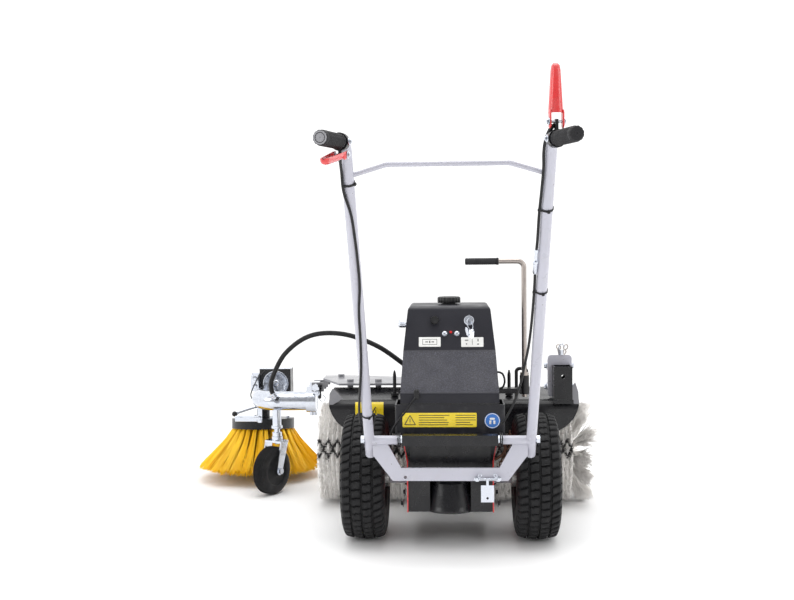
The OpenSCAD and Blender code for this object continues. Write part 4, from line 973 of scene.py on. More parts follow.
draws = np.random.default_rng(4)
for side, x0, x1 in (("left", -392.0, -14.5), ("right", 34.5, 358.0)):
    body, body_tint = packed_body(x0, x1, draws)
    tufts, tuft_tint = roller_tufts(x0, x1, draws)
    points, faces = merged([body, tufts])
    put("roller_" + side + "_tufts", (points + [0, ROLLER[1], ROLLER[2]], faces), off_white,
        "roller", [side + "_bristles"], weld=False, crease=70,
        tint=np.concatenate([body_tint, tuft_tint]))

# %% [markdown]
# The last ring at the right end is loose. Its long bristles gather in clumps, each of which
# leans outwards by its own amount, so the end looks ragged and shows the shaft's hub.

# %% Loose end ring
def end_fan(starts, clumps, per_clump, rng):
    """Strands from near the core to the roller's radius, in clumps that share their angle and
    lean. Over a strand's share t, its radius grows evenly and it moves outwards by the lean
    times t^1.4."""
    row, k = np.meshgrid(np.arange(len(starts)), np.arange(clumps * per_clump), indexing="ij")
    row, k = row.ravel(), k.ravel() // per_clump
    turn = 2 * math.pi * (k + rng.uniform(-0.2, 0.2, clumps)[k] + 0.1 * row) / clumps
    turn = turn + rng.normal(0, 0.045, len(k))
    tip_turn = turn + rng.normal(0, 0.085, len(k))
    shift = rng.uniform(24, 58, clumps)[k] + rng.normal(0, 8, len(k))
    r1 = 148 - np.abs(rng.normal(0, 7, len(k)))
    r0 = 56 + rng.normal(0, 3, len(k))
    t = np.array([0, 0.4, 0.75, 1.0])
    angle = turn[:, None] + (tip_turn - turn)[:, None] * t
    r = r0[:, None] + (r1 - r0)[:, None] * t
    xs = (np.asarray(starts)[row] + rng.normal(0, 2.5, len(k)))[:, None]
    xs = np.minimum(xs + shift[:, None] * t**1.4, 434)
    line = np.stack([xs, -r * np.cos(angle), r * np.sin(angle)], -1) + [0, ROLLER[1], ROLLER[2]]
    return prisms(line, np.array([1.3, 1.5, 1.3, 0.7]), X + 0.2 * Y)


loose = end_fan([360.0, 366.0, 372.0], 13, 75, draws)
put("roller_loose_end", loose, off_white, "roller", weld=False, crease=70,
    tint=np.zeros(len(loose[0])))

# %% [markdown]
# ## Side brush
# Yellow bristles stand in four rings of clumps in the disc's underside and spread down to
# the floor. Each bristle is a thin prism along a slightly bent line, down and outwards. The
# disc is tilted, so its front tips press on the floor and its rear ones hang. Tips near the
# caster are shorter, so that the wheel stands clear of them. A fluted body fills the middle,
# and its yellow is painted darker as painted shade between the clumps.

# %% Side brush bristles
DISC = np.array([-632.0, 715.0, 165.0])
TILT = math.radians(6.5)
DISC_DOWN = np.array([0, -math.sin(TILT), -math.cos(TILT)])
DISC_FRONT = np.array([0, math.cos(TILT), -math.sin(TILT)])


def fan_bristles(rows, clumps, per_clump, rng):
    """Strands from the disc to the floor, in clumps with gaps between them. At share t of a
    strand, its radius is r0 + (r1 - r0) t^1.12 and its drop is the whole drop times t."""
    row, k = np.meshgrid(np.arange(rows), np.arange(clumps * per_clump), indexing="ij")
    row, k = row.ravel(), k.ravel()
    clump = k // per_clump
    wander = rng.uniform(-0.16, 0.16, (rows, clumps))[row, clump]
    angle = 2 * math.pi * (clump + 0.5 + 0.14 * row + wander) / clumps
    angle = angle + rng.uniform(-0.055, 0.055, len(k))
    r0 = 50 + 15 * row + rng.normal(0, 2.4, len(k))
    r1 = 146 + 22 * row + rng.normal(0, 5, len(k)) + rng.normal(0, 5, (rows, clumps))[row, clump]
    tip_angle = angle + rng.normal(0, 0.030, len(k))
    tip_angle = tip_angle + rng.normal(0, 0.03, (rows, clumps))[row, clump]
    toward = np.stack([np.cos(tip_angle), np.sin(tip_angle)], 1)
    at_caster = toward @ unit(np.array([0.42, -0.91]))
    cap = 214 - 39 * smooth_step(at_caster, 0.25, 0.75)
    r1 = np.minimum(r1, cap - rng.uniform(0, 7, len(k)))
    t = np.array([0, 0.35, 0.7, 1.0])
    out = (np.cos(angle)[:, None] * X + np.sin(angle)[:, None] * DISC_FRONT)
    out_tip = (np.cos(tip_angle)[:, None] * X + np.sin(tip_angle)[:, None] * DISC_FRONT)
    turn = (out_tip - out)[:, None] * t[None, :, None] + out[:, None]
    radius = r0[:, None] + (r1 - r0)[:, None] * t**1.12
    flat = DISC + radius[..., None] * turn
    reach = (flat[:, -1, 2] - 3 - rng.uniform(0, 10, len(k))) / math.cos(TILT)
    reach = np.minimum(reach, 150 - rng.uniform(0, 12, len(k)) - 6 * row)
    line = flat + (reach[:, None] * t)[..., None] * DISC_DOWN
    return prisms(line, np.array([1.0, 1.0, 0.8, 0.45]) * 1.15, DISC_DOWN + 0.3 * Y)


strands = fan_bristles(4, 30, 40, draws)
heart = turned([(-0.2, 0), (-0.2, 86), (20, 92), (60, 108), (100, 128), (118, 137), (120, 110),
                (100, 60), (90, 0)], DISC, DISC_DOWN, 120, 30, 12)
heart = (heart[0], triangles(heart[1]))
# Painted shade: the heart's tint of 0.55 mixes its yellow more than half way to the dark brownish
# colour, standing in for the shade between the clumps.
put("side_brush_strands", merged([heart, strands]), amber, "side_brush",
    ["side_bristles"], weld=False, crease=70,
    tint=np.r_[np.full(len(heart[0]), 0.55), np.zeros(len(strands[0]))])

# %% [markdown]
# ## Caster wheel
# The caster has a solid rubber tyre with fine rings on its tread and a stepped plastic hub.
# It is one turned section from hub to hub, with its axle through the middle.

# %% Caster wheel
STEM = np.array([-547.0, 492.0, 0.0])
CASTER_YAW = math.radians(90 - 28)
CASTER_BACK = np.array([math.cos(CASTER_YAW), math.sin(CASTER_YAW), 0])
CASTER_SIDE = np.array([-math.sin(CASTER_YAW), math.cos(CASTER_YAW), 0])
caster_middle = STEM - 30 * CASTER_BACK + [0, 0, 75]

flank = [(26.8, 6.2), (26.8, 14.6), (22, 15), (20, 17), (17, 22), (15.5, 40), (17, 45), (21, 47),
         (22.5, 52), (23, 57), (22.6, 63), (20, 69), (17.5, 71.4)]
across = np.linspace(17, -17, 60)
tread = np.stack([across, 73.4 + 1.3 * np.cos(across * 2 * math.pi / 4.6)
                  - 2.0 * (across / 17) ** 4], 1)
mirrored = [(-x, r) for x, r in flank[::-1]]
profile = np.vstack([flank, tread, mirrored, [(-26.8, 6.2), (26.8, 6.2)]])
put("caster_tyre", turned(profile, caster_middle, CASTER_SIDE, 96), tyre_black, "caster_wheel",
    ["caster_wheel"], crease=35)

# %% [markdown]
# ## Flexible drive shaft
# The side brush is driven by a shaft in a thick flexible hose, that arches from the take-off
# on the head to the arm. Its outer sheath shows the close winding of the wire inside as fine
# rings. The hose itself rides on no body, while its two ferrules ride on the head and the arm.

# %% Hose
HOSE_ROUTE = [(-71.5, 372, 374), (-96, 371, 382), (-142, 358, 424), (-220, 352, 478),
              (-320, 360, 512), (-420, 378, 506), (-500, 400, 452), (-545, 422, 376),
              (-552, 432, 334), (-541, 447, 306)]
hose_path = curve(HOSE_ROUTE, 40)
span = np.cumsum(np.r_[0, np.linalg.norm(np.diff(hose_path, axis=0), axis=1)])
print("hose length", round(span[-1]), "mm")
even = np.linspace(0, span[-1], 520)
hose_path = np.stack([np.interp(even, span, hose_path[:, k]) for k in range(3)], 1)
winding = 7.3 + 0.2 * np.cos(2 * math.pi * even / 4.4)
hose = put("flex_hose", tube(hose_path, winding, 22, Y), cable_black, None,
           ["flex_shaft"])
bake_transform(hose)
for name, k0, k1, body in (("hose_head_ferrule", 2, 22, "brush_head"),
                           ("hose_arm_ferrule", -20, -3, "side_arm")):
    stretch = hose_path[k0:k1]
    r = 9.4 + 0.5 * np.cos(np.linspace(0, 6 * math.pi, len(stretch)))
    put(name, tube(stretch, r, 24, Y), bright_zinc, body)

# %% [markdown]
# ## Crank grip, fuel cap and choke knob
# These are small mouldings for the hand. The grip on the crank is a ribbed sleeve, the cap
# is fluted round its rim under a flat top, and the knob has a waisted neck.

# %% Hand mouldings
grip_start = np.array([138.0, 150, 730])
sleeve = ribbed(76, 10.2, 5.2, 1.0) + [7, 0]
profile = np.vstack([[(0, 7.1), (0, 10), (1, 10.4), (5, 10.4), (6, 9.2)], sleeve,
                     [(84, 9.4), (90, 9.6), (92.5, 8), (93, 5), (93, 0)]])
put("crank_grip_sleeve", turned(profile, grip_start, -X, 56, 10, 0.5), grip_black, "swivel_lever",
    ["swivel_grip"])

cap_foot = np.array([0.0, 100, 614.9])
profile = [(-12, 0), (-12, 17.6), (4, 17.8), (4.4, 31.0), (6, 31.8), (16, 31.6), (19, 30.4),
           (20.6, 27), (20.9, 22), (20.2, 20.5), (20.2, 0)]
put("fuel_cap_fluted", turned(profile, cap_foot, Z, 160, 20, 1.6), knob_black, "fuel_cap",
    ["fuel_cap"])

PANEL_UP = unit([0, 40, 108])
PANEL_OUT = np.array([0, -PANEL_UP[2], PANEL_UP[1]])


def on_panel(x, up, out=0.0):
    """A point of the instrument panel: x across, up from its lower edge, out from it."""
    return np.array([x, -40, 122 + 380.9]) + up * PANEL_UP + out * PANEL_OUT


profile = [(-30, 0), (-30, 4.4), (1, 4.4), (1, 7.5), (4, 7.5), (6, 9), (8, 11.6), (13, 11.9),
           (15, 10.5), (15.3, 7), (14.8, 0)]
put("choke_knob_head", turned(profile, on_panel(-38, 78), PANEL_OUT, 72, 9, 1.2), knob_black,
    "choke", ["choke_knob"])

# %% [markdown]
# ## Instrument panel
# The key's barrel has a knurled ring, and a ring and tag hang from the key. Two bright studs
# sit below with a red lamp between them. The two white labels only carry plain frames and
# bars, and every label on the machine keeps to plain shapes like these.

# %% Panel details
def ring_of(middle, normal, r, wire, sides=40):
    """A round wire ring: middle + (r + wire cos b) (cos a u + sin a v) + wire sin b normal."""
    normal = unit(normal)
    u, v = square_to(normal)
    c, s = circle(sides)
    out = c[:, None] * u + s[:, None] * v
    wire_c, wire_s = circle(10)
    rings = (middle + (r + wire * wire_c)[None, :, None] * out[:, None]
             + (wire * wire_s)[None, :, None] * normal)
    return grid(rings, wrap_u=True)


def bar(x, up, w, h, out=0.5, r=0.3):
    """A small printed bar on the panel."""
    return plate(rounded(w, h, r, 3), 0.25, on_panel(x, up, out), X, PANEL_UP, 0.08)


labels = [plate(rounded(57, 26, 2), 0.5, on_panel(-51, 22), X, PANEL_UP, 0.15),
          plate(rounded(58, 26, 2), 0.5, on_panel(60, 21), X, PANEL_UP, 0.15)]
put("panel_labels", merged(labels), label_white, "chassis")
marks = [bar(-51, 29, 38, 1.0), bar(-51, 15, 38, 1.0), bar(-69.5, 22, 1.0, 14),
         bar(-32.5, 22, 1.0, 14), bar(-59, 22, 7, 2.4), bar(-51, 22, 3, 6), bar(-43, 22, 7, 2.4),
         bar(45, 26, 9, 2.2), bar(45, 16, 3, 3), bar(60, 21, 1.0, 15), bar(75, 26, 2.6, 7),
         bar(75, 15.5, 5, 2.6)]
put("panel_label_marks", merged(marks), ink_black, "chassis")

knurled = turned([(3.4, 3.4), (3.4, 12.6), (4.4, 13.2), (7.6, 13.2), (8.4, 12.2), (8.4, 9),
                  (7.4, 8.6), (7.4, 3.6), (3.4, 3.4)], on_panel(52, 78), PANEL_OUT, 120, 30, 0.6)
studs = [turned([(0.2, 0), (0.2, 7), (1.4, 7.4), (2.2, 7.2), (2.2, 5.6), (5.2, 5.2), (6, 3.8),
                 (6.2, 0)], on_panel(x, 44), PANEL_OUT, 30) for x in (-12, 20)]
put("panel_studs", merged([knurled, *studs]), bright_zinc, "chassis")
put("panel_lamp", turned([(0, 0), (0, 3.6), (1.5, 3.6), (3, 2.6), (3.5, 0)], on_panel(4, 48),
                         PANEL_OUT, 24), lamp_red, "chassis")

# %% [markdown]
# The key's ring, its tag and a spare blade are thin bright pieces that hang a little apart
# from each other. A round knob with fine flutes stands on the hood's left side.

# %% Key ring and side knob
key_ring = ring_of(on_panel(54, 62, 25), [0.85, -0.45, 0.25], 15, 0.9)
tag = plate(rounded(17, 23, 5), 1.4, on_panel(57, 38, 22), unit([0.9, -0.4, 0]),
            unit([0.08, 0.1, 1]), 0.3)
blade = plate(rounded(9, 22, 3), 1.4, on_panel(47, 44, 21), unit([0.75, -0.6, 0]),
              unit([-0.25, 0.1, 1]), 0.3)
put("key_ring_and_tag", merged([key_ring, tag, blade]), bright_zinc, "key")

knob = turned([(0, 0), (0, 9.6), (1.5, 10.6), (9, 11), (16, 10.4), (19.5, 8), (20, 4), (20, 0)],
              (-114, -20, 571), -X, 48, 8, 1.0)
put("hood_side_knob", knob, bright_zinc, "chassis")

# %% [markdown]
# ## Labels of the battery box
# The battery box carries a yellow label with a plain triangle and bars, and a round blue one
# with plain white shapes. Labels are thin films, and their marks are thinner ones on top.

# %% Battery box labels
BOX_BACK = -150.0


def flat_bar(x, z, w, h, y, r=0.4):
    """A printed bar on the battery box's rear face."""
    return plate(rounded(w, h, r, 3), 0.2, (x, y, z), X, Z, 0.06)


def triangle_frame(x, z, w, y):
    """Three bars in a triangle and a short upright one in it."""
    h = w * 0.86
    corners = np.array([[-w / 2, -h / 2], [w / 2, -h / 2], [0, h / 2]])
    shapes = []
    for a, b in zip(corners, np.roll(corners, -1, axis=0)):
        way = unit(b - a)
        mid = (a + b) / 2
        across = way[0] * X + way[1] * Z
        shapes.append(plate(rounded(np.linalg.norm(b - a) + 1, 2.0, 0.8, 3), 0.2,
                            (x + mid[0], y, z + mid[1]), across, np.cross(Y, across) * -1, 0.06))
    shapes.append(flat_bar(x, z - 1, 1.8, 8, y))
    shapes.append(flat_bar(x, z - 7.5, 1.8, 1.8, y))
    return shapes


label_y = BOX_BACK - 0.05
put("battery_box_label", plate(rounded(186, 36, 2.5), 0.5, (-26, label_y, 338), X, Z, 0.15),
    label_yellow, "chassis")
lines = triangle_frame(-100, 338, 27, label_y - 0.5)
rng = np.random.default_rng(9)
for x0, longest, shortest in ((-78, 80, 0.72), (14, 52, 0.7)):
    for row in range(5):
        w = longest * rng.uniform(shortest, 1.0)
        lines.append(flat_bar(x0 + w / 2, 350 - 6 * row, w, 1.7, label_y - 0.5))
put("battery_box_label_marks", merged(lines), ink_black, "chassis")
blue = turned([(0, 0), (0, 19.5), (0.5, 19.5), (0.6, 0)], (106, BOX_BACK, 336), -Y, 48)
put("battery_box_disc", blue, label_blue, "chassis")
white = [turned([(0.5, 17.0), (0.8, 17.2), (0.8, 18.4), (0.5, 18.6), (0.5, 17.0)],
                (106, BOX_BACK, 336), -Y, 48),
         flat_bar(106, 341, 13, 5, BOX_BACK - 0.6, 2), flat_bar(101, 332, 5, 9, BOX_BACK - 0.6),
         flat_bar(111, 332, 5, 9, BOX_BACK - 0.6)]
put("battery_box_disc_marks", merged(white), label_white, "chassis")

# %% [markdown]
# The lead of the charging socket leaves the hood's rear lip under a small cover, crosses the
# battery box's corner and runs down past the left pivot. A bail stands on the hood's right
# flank, and a bent lever of the drive's linkage hangs behind the right side plate. All three
# are circles carried along a curve.

# %% Lead, bail and linkage lever
lead = curve([(-84, -148, 398), (-86, -158, 396), (-94, -165, 386), (-112, -165, 360),
              (-132, -162, 334), (-147, -158, 306), (-149, -150, 270), (-140, -130, 236)], 8)
put("socket_lead", tube(lead, 2.6, 14), cable_black, "chassis")
cover = slab(rounded(13, 26, 4), [(1.2, 0), (0, 1.2), (0, 7), (2.2, 9)], (-83, -149.5, 403), X, Z)
put("socket_cover", cover, knob_black, "chassis")
bail = curve([(121, 60, 432), (133, 60, 432), (143, 60, 427), (148, 60, 414), (148, 60, 402),
              (143, 60, 391), (133, 60, 386), (121, 60, 386)], 8)
put("hood_bail", tube(bail, 2.8, 14, Y), satin_black, "chassis")
linkage = curve([(104, -118, 292), (122, -124, 284), (138, -130, 268), (136, -132, 252),
                 (124, -128, 240), (114, -120, 232)], 8)
put("linkage_lever", tube(linkage, np.linspace(5.0, 3.4, len(linkage)), 14, Y), chain_brown,
    "chassis")

# %% [markdown]
# A short chain hangs beside the right side plate. Each link is a ring stretched along the
# chain, and every second one stands on edge.

# %% Chain
def link(middle, way, face, length=15.0, width=9.0, wire=1.5):
    """A chain link: an ellipse with axes along the way and square to it, and the wire's
    circle carried round it, in the plane of the ellipse's own normal and the face's."""
    way, side = unit(way), unit(np.cross(face, way))
    c, s = circle(28)
    flat = (c * length / 2)[:, None] * way + (s * width / 2)[:, None] * side
    out = unit((c * width)[:, None] * way + (s * length)[:, None] * side)
    wire_c, wire_s = circle(8)
    rings = (np.asarray(middle, dtype=float) + flat[:, None]
             + wire * (wire_c[None, :, None] * out[:, None] + wire_s[None, :, None] * unit(face)))
    return grid(rings, wrap_u=True)


chain_line = curve([(150, -128, 300), (147, -130, 276), (138, -131, 254), (130, -130, 232),
                    (128, -126, 212)], 10)
spots = np.linspace(0, len(chain_line) - 2, 9).astype(int)
links = [link(chain_line[k], chain_line[k + 1] - chain_line[k], Y if n % 2 else X + 0.01 * Z)
         for n, k in enumerate(spots)]
put("linkage_chain", merged(links), chain_brown, "chassis")

# %% [markdown]
# ## Nuts, washers and clips
# The handle's two pivots have black washers under their bright nuts, and the side plates and
# the deck are bolted. Bolts in rows come from short lists of places.

# %% Bolts and washers
dark_bolts = [bolt((s * 121, y, z), (s, 0, 0), 10, 5) for s in (-1, 1)
              for y, z in ((-92, 112), (-92, 200), (-92, 280), (30, 112), (30, 290), (136, 112),
                           (136, 280))]
put("side_plate_bolts", merged(dark_bolts), satin_black, "chassis")
washers = [turned([(0, 10), (0, 17.5), (0.4, 18.2), (2.6, 18.2), (3, 17.5), (3, 10), (0, 10)],
                  (s * x, -200, 297), (s, 0, 0), 40) for s in (-1, 1) for x in (121.5, 126)]
put("pivot_washers", merged(washers), satin_black, "chassis")
deck_bolts = [bolt((s * 106, y, 380.7), Z, 10, 5) for s in (-1, 1) for y in (222, 238)]
beam_bolts = [bolt((s * 78, 300, 379.4), Z, 13, 7) for s in (-1, 1)]
put("deck_bolts", merged(deck_bolts + beam_bolts), bright_zinc, "chassis")


# %% [markdown]
# Two spring clips sit on the lower yoke, and two more hang on the accessory post. A spring
# clip is one wire, bent in its own plane and then laid on the machine. The post's bracket
# has two bolts on each side.

# %% Spring clips and the post's bolts
def hairpin(start, up, side, length, gap, wire):
    """A spring clip: a wire out along one leg, round a loop, and back along a wavy leg."""
    up, side = unit(up), unit(side)
    t = np.linspace(0, 1, 24)
    a = np.linspace(-0.35 * math.pi, 1.35 * math.pi, 22)
    straight = np.stack([np.full(24, -gap / 2), t * length], 1)
    loop = np.stack([-gap * 0.825 * np.cos(a), length + gap + gap * np.sin(a)], 1)
    wavy = np.stack([gap / 2 - gap * 0.42 * np.sin(math.pi * t * 1.5) ** 2, t * length], 1)[::-1]
    flat = np.vstack([straight, loop, wavy])
    path = np.asarray(start, dtype=float) + flat[:, :1] * side + flat[:, 1:] * up
    return tube(path, wire, 10, np.cross(up, side))


yoke_clips = [merged([hairpin((x, -214.5, 199), (s * 0.35, 0, 1), X, 9, 4.5, 1.2),
                      bolt((x - s * 3, -212.1, 203), -Y, 7, 4)]) for x, s in ((68, 1), (115, -1))]
put("yoke_clips", merged(yoke_clips), bright_zinc, "handle")
pins = [hairpin((x, 246, 452), (lean, 0, 1), X, 22, 7, 1.5)
        for x, lean in ((318, -0.16), (328, 0.2))]
put("post_hairpins", merged(pins), crank_steel, "brush_head")
post_bolts = [bolt((x, 265, z), way, 13, 7) for x, way in ((350.2, X), (281.8, -X))
              for z in (365, 425)]
put("post_bracket_bolts", merged(post_bolts), bright_zinc, "brush_head")
lip = plate(rounded(58, 12, 2), 2.4, (320, 190, 331), X, Z)
put("post_foot_lip", lip, satin_black, "brush_head")

# %% [markdown]
# ## Brush hood details
# A yellow label bends over the hood's rear edge. It follows the hood's own profile: flat up to
# the start of the round edge, then along the arc. Its sign is a plain triangle, built up from
# short steps so that it bends too. The hood's end plates rise to a point.

# %% Brush hood label and ends
EDGE_R, EDGE_Z, COVER_Y = 26.0, 308.0, 206.0


def on_cover(x, s, out):
    """A point on the hood's rear: s up its profile from the arc's start, out from the skin."""
    a = np.clip(s / EDGE_R, 0, 1.3)
    y = COVER_Y + EDGE_R - (EDGE_R + out) * np.cos(a)
    z = EDGE_Z + np.minimum(s, 0) + (EDGE_R + out) * np.sin(a)
    return np.stack([np.broadcast_to(x, y.shape), y, z], -1)


def wrapped(x0, x1, s0, s1, out, t=0.4):
    """A film from x0 to x1 and from s0 to s1 on the hood's rear, t thick."""
    s = np.linspace(s0, s1, 16)
    ring = np.stack([on_cover(x, s, o) for x, o in ((x0, out), (x1, out), (x1, out + t),
                                                    (x0, out + t))], 1)
    ends = [np.repeat(ring[k].mean(axis=0)[None, None], 4, axis=1) for k in (0, -1)]
    return grid(np.concatenate([ends[0], ring, ends[1]]))


put("hood_label", wrapped(-271, -190, -28, 22, 0.1), label_yellow, "brush_head")
marks = [wrapped(-262, -257, -12, 6, 0.6, 0.2), wrapped(-262, -257, -20, -15, 0.6, 0.2)]
marks.append(wrapped(-226, -198, -18, -16, 0.6, 0.2))
sign_x, sign_half, sign_low, sign_rise, steps = -212, 14, -17, 24, 8
for k in range(steps):
    t0, t1 = k / steps, (k + 1) / steps
    for s in (-1, 1):
        marks.append(wrapped(sign_x + s * sign_half * (1 - t0) - 1,
                             sign_x + s * sign_half * (1 - t1) + 1,
                             sign_low + sign_rise * t0, sign_low + sign_rise * t1, 0.6, 0.2))
marks.append(wrapped(sign_x - 1, sign_x + 1, -12, -1, 0.6, 0.2))
put("hood_label_marks", merged(marks), ink_black, "brush_head")
peaks = [plate(np.array([[-14, -10], [26, -34], [24, 8 * high], [15, 36 * high], [-2, 10 * high]])
               * [s, 1], 2.2, (10 + s * 331, 212, 348), X, Z) for s, high in ((1, 1), (-1, 0.55))]
put("cover_end_peaks", merged(peaks), plate_grey, "brush_head")
cover_bolts = [bolt((x, 205.8, 262), -Y, 10, 5) for x in (-150, -60, 80, 225)]
put("cover_bolts", merged(cover_bolts), satin_black, "brush_head")

# %% [markdown]
# ## Side arm details
# The drive box shows a bright disc in its open face, with three screws. A galvanised angle
# and a thin lead are at its left.

# %% Drive box
face = np.array([-581.0, 684.0, 320.0])
disc = turned([(0, 0), (0, 42.6), (1.0, 43.4), (4.0, 43.4), (5.0, 42.4), (5.0, 36), (4.2, 35),
               (4.2, 12), (6.5, 10.5), (7.5, 8), (7.5, 0)], face, -Y, 72)
screws = [bolt(face + [23 * math.cos(a), -4.2, 23 * math.sin(a)], -Y, 6, 2.6, washer=False)
          for a in (0.2, 2.3, 4.4)]
put("drive_disc", merged([disc, *screws]), hot_zinc, "side_arm")
angle_plate = plate(rounded(33, 62, 5), 3, (-650, 690, 324), X, Z)
angle_side = plate(rounded(52, 62, 5), 3, (-634.2, 664, 324), Y, Z)
top_strip = plate(rounded(108, 62, 3), 2.2, (-582, 705, 369), X, Y)
put("drive_angle", merged([angle_plate, angle_side, top_strip,
                           bolt((-652, 687, 334), -Y, 10, 5), bolt((-652, 687, 308), -Y, 10, 5)]),
    hot_zinc, "side_arm")
thin = curve([(-612, 668, 366), (-628, 640, 352), (-641, 610, 322), (-648, 590, 296),
              (-640, 580, 278)], 8)
put("drive_lead", tube(thin, 1.8, 10), cable_black, "side_arm")

# %% [markdown]
# The tilt lever is a thin rod with a black ball at its end. Its ball is a half circle turned
# round the rod. Behind the disc a flat bar guards the bristles' roots, held by a strap.

# %% Tilt lever and guard bar
lever_foot = np.array([-653.0, 708.5, 237.5])
lever_ball = np.array([-714.0, 643.3, 223.5])
way = unit(lever_ball - lever_foot)
rod_profile = [(-3, 0), (-3, 4.8), (6, 4.8), (8, 3.4), (76, 3.4), (78, 5), (84, 5), (85, 0)]
put("tilt_lever_rod", turned(rod_profile, lever_foot, way, 24), bright_zinc, "tilt_lever",
    ["tilt_lever"])
BALL_R = 9.0
arc = np.linspace(0.5, math.pi, 14)
ball_profile = np.vstack([[(-9.5, 0), (-9.5, 4.5)],
                          BALL_R * np.stack([-np.cos(arc), np.sin(arc)], 1)])
put("tilt_lever_ball", turned(ball_profile, lever_ball, way, 36), knob_black, "tilt_lever")
guard = plate(rounded(88, 19, 3), 3, (-661, 607, 214), X, Z)
strap_up = plate(rounded(15, 70, 3), 3, (-622, 604, 236), X, Z)
put("disc_guard_bar", merged([guard, strap_up, bolt((-622, 601, 216), -Y, 8, 4)]), hot_zinc,
    "side_arm")

# %% [markdown]
# The arm's clamp has a black pin and a wire ring, the arm tube ends in a flange, and a collar
# sits on the caster's stem. Six bolts hold the bristle disc, at even angles round it.

# %% Clamp, flange and disc bolts
pin = turned([(0, 0), (0, 4.6), (3, 5.2), (34, 5.2), (36, 7.5), (42, 7.5), (43.5, 6), (43.5, 0)],
             (-404, 448, 304), Z, 28)
put("clamp_pin", pin, satin_black, "side_arm")
ring = ring_of(np.array([-396.0, 446, 305]), [0.25, 1, 0.1], 10, 1.2)
clip = bolt((-410, 441.8, 322), -Y, 9, 4)
end_ring = turned([(0, 31), (0, 35.2), (0.6, 35.8), (5.4, 35.8), (6, 35.2), (6, 31), (0, 31)],
                  (-419.5, 492, 290), -X, 64)
end_bolt = bolt((-424, 492, 252), -Z, 10, 6)
put("clamp_ring_and_flange", merged([ring, clip, end_ring, end_bolt]), bright_zinc, "side_arm")
stem_collar = turned([(0, 14), (0, 17), (0.8, 17.8), (7.2, 17.8), (8, 17), (8, 14), (0, 14)],
                     (-547, 492, 203), Z, 48)
put("stem_collar", stem_collar, hot_zinc, "side_arm")
bolt_ring = [math.cos(a) * X + math.sin(a) * DISC_FRONT
             for a in np.linspace(0, 2 * math.pi, 6, endpoint=False)]
disc_bolts = [bolt(DISC - 33 * DISC_DOWN + 84 * way, -DISC_DOWN, 10, 5) for way in bolt_ring]
put("side_disc_bolts", merged(disc_bolts), bright_zinc, "side_brush")

# %% [markdown]
# ## Hand levers
# Each lever is pressed from sheet steel: a channel with a rounded back that tapers to a closed
# tip. Its section is an arch of two curves, one inside the other, carried along the lever.
# At its foot only the two cheeks go on, down to the pin. The right one stands up with its
# back to the operator, and the left one hangs with its back down.

# %% Hand levers
def lever_pivot(s):
    """The middle of a lever's pin: 25 mm below the root of the left grip, or 32 mm above the
    root of the right one."""
    return bend_end(s) + 9 * grip_direction(s) + [0, 0, -25 if s < 0 else 32]


def pin_direction(s):
    """Level, and square to the way the grip points."""
    return np.array([math.cos(SPLAY), s * math.sin(SPLAY), 0])


def lever_shape(pivot, along, across, back):
    """The arch runs over a from leg to leg: half the width times sin a, with its size to the
    power 0.8, and the depth times cos a to the power 0.6. Its inner copy lies 2 mm in. Width
    and depth shrink along the lever, towards the tip."""
    a = np.linspace(-math.pi / 2, math.pi / 2, 19)
    h = np.r_[16, np.linspace(16, 96, 14), 101, 105, 108, 109.5]
    taper = np.interp(h, [16, 40, 96, 105, 109.5], [1.0, 0.90, 0.66, 0.56, 0.30])
    deep = np.interp(h, [16, 40, 96, 105, 109.5], [1.0, 1.0, 0.9, 0.75, 0.35])

    def arch(inset):
        """Across and out, as arrays of steps by angles, drawn in by the inset."""
        u = (14 * taper - inset)[:, None] * (np.sign(np.sin(a)) * np.abs(np.sin(a)) ** 0.8)
        v = -7.5 + (15 * deep - inset)[:, None] * np.cos(a) ** 0.6
        return u, v

    (u0, v0), (u1, v1) = arch(0), arch(2)
    u = np.hstack([u0, u1[:, ::-1]])
    v = np.hstack([v0, v1[:, ::-1]])
    u[0, 19:], v[0, 19:] = u0[0, ::-1], v0[0, ::-1]
    ring = (pivot + h[:, None, None] * along + u[..., None] * across + v[..., None] * back)
    tip = np.repeat(ring[-1:].mean(axis=1, keepdims=True), 38, axis=1)
    cheek = np.array([[-9, 7.5], [-13, 3], [-13, -3], [-9, -7.5], [22, -7.5], [22, 5], [16, 7.5]])
    cheeks = [plate(cheek, 2.4, pivot + s * 12.6 * across - 1.2 * np.cross(along, back), along,
                    back) for s in (-1, 1)]
    return merged([grid(np.concatenate([ring, tip])), *cheeks])


for side, s, along, back in (("left", -1, [-0.178, -0.962, -0.208], [0.038, 0.205, -0.978]),
                             ("right", 1, [0, 0, 1], [0.182, -0.983, 0])):
    shape = lever_shape(lever_pivot(s), unit(along), pin_direction(s), unit(back))
    put(side + "_pressed_lever", shape, signal_red, side + "_lever",
        [side + "_lever"], crease=50)

# %% [markdown]
# ## Grip caps and lever pins
# Each grip is closed by a disc with a ring pressed in it, grey on the left and black on the
# right. Each lever turns on a bright pin with a nut at both ends, and a screw clamps each
# lever's bracket to its tube.

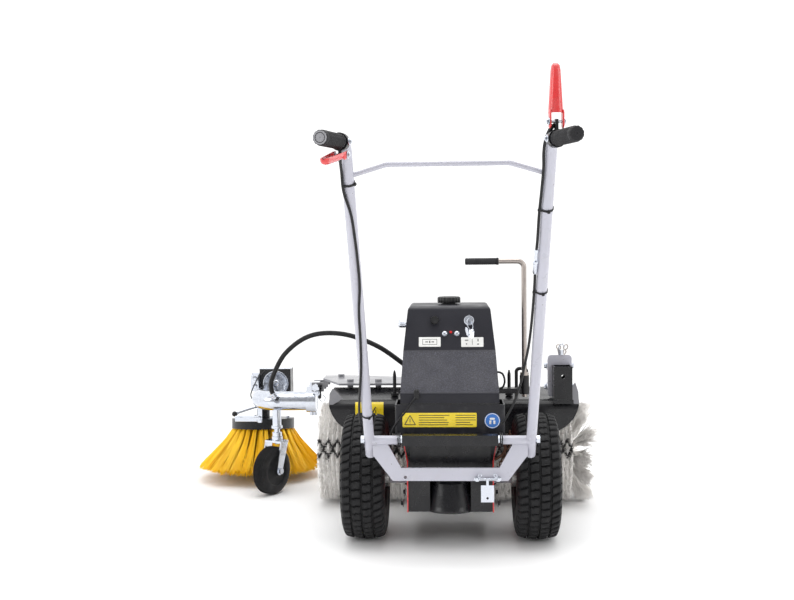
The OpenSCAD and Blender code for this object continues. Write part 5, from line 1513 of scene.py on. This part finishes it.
# %% Grip caps and lever pins
for side, s in SIDES:
    tip = bend_end(s) + (GRIP_GAP + GRIP_L - 1.4) * grip_direction(s)
    put(side + "_grip_cap", turned([(0, 0), (0, 12.6), (1.4, 12.4), (1.6, 10), (0.9, 9.4),
                                    (0.9, 5.6), (1.6, 5), (1.6, 1.6), (0.6, 1.2), (0.6, 0)],
                                   tip, grip_direction(s), 48),
        barrel_grey if s < 0 else grip_black, "handle")
    pivot, way = lever_pivot(s), pin_direction(s)
    nuts = [bolt(pivot + 14.2 * way, way, 8, 3.5), bolt(pivot - 14.2 * way, -way, 8, 3.5)]
    shank = turned([(-14, 0), (-14, 2.9), (14, 2.9), (14, 0)], pivot, way, 20)
    put(side + "_lever_pin", merged([*nuts, shank]), bright_zinc, side + "_lever")
clamp_heads = []
for _, s in SIDES:
    root, way = bend_end(s) + 9 * grip_direction(s), pin_direction(s)
    clamp_heads.append(bolt(root - s * 17.6 * way, -s * way, 8, 4))
put("bracket_screws", merged(clamp_heads), bright_zinc, "handle")

# %% [markdown]
# ## Floor and light
# A very large pale floor and a soft bright sky give a plain studio. The sky is darker behind
# the camera, so that black and bright parts show their shapes. One broad panel of light
# hangs over the machine and two more stand beside the camera, so that edges stay readable
# and shadows lie soft on the floor.

# %% Studio
def area_light(name, place, aim, size, power):
    """A square lamp of this size in metres that looks at a point."""
    data = bpy.data.lights.new(name, "AREA")
    data.shape = "SQUARE"
    data.size = size
    data.energy = power
    lamp = bpy.data.objects.new(name, data)
    lamp.location = place
    lamp.rotation_euler = (Vector(aim) - Vector(place)).to_track_quat("-Z", "Y").to_euler()
    bpy.context.scene.collection.objects.link(lamp)


FLOOR_HALF = 40.0
floor_mesh = bpy.data.meshes.new("studio_floor")
floor_mesh.from_pydata([(x * FLOOR_HALF, y * FLOOR_HALF, 0)
                        for x, y in ((-1, -1), (1, -1), (1, 1), (-1, 1))], [], [(0, 1, 2, 3)])
floor_finish = Finish("studio_floor", 0.6, specular=0.2)
floor_finish.colour(floor_finish.mix(floor_finish.noise(0.5), (0.93, 0.93, 0.93),
                                     (0.95, 0.95, 0.95)))
floor_mesh.materials.append(floor_finish.material)
floor = bpy.data.objects.new("studio_floor", floor_mesh)
floor.location.z = -0.0006
bpy.context.scene.collection.objects.link(floor)

world = bpy.data.worlds.new("studio_sky")
world.use_nodes = True
sky = world.node_tree
sky.nodes["Background"].inputs["Color"].default_value = (1.0, 1.0, 1.0, 1)
toward = sky.nodes.new("ShaderNodeSeparateXYZ")
sky.links.new(toward.inputs[0], sky.nodes.new("ShaderNodeTexCoord").outputs["Generated"])
dimmed = sky.nodes.new("ShaderNodeMapRange")
for key, number in (("From Min", -0.85), ("From Max", -0.25), ("To Min", 0.42), ("To Max", 1.30)):
    dimmed.inputs[key].default_value = number
sky.links.new(dimmed.inputs["Value"], toward.outputs["Y"])
sky.links.new(sky.nodes["Background"].inputs["Strength"], dimmed.outputs[0])
bpy.context.scene.world = world
bpy.context.scene.view_settings.view_transform = "Standard"
area_light("overhead", (0.2, -0.3, 3.6), (0.1, 0.1, 0.3), 2.6, 45)
area_light("left_panel", (-3.2, -2.4, 1.8), (0.1, 0, 0.5), 1.8, 32)
area_light("right_panel", (3.4, -2.8, 2.2), (0.1, 0, 0.5), 1.6, 28)
print("lights:", len(bpy.data.lights))
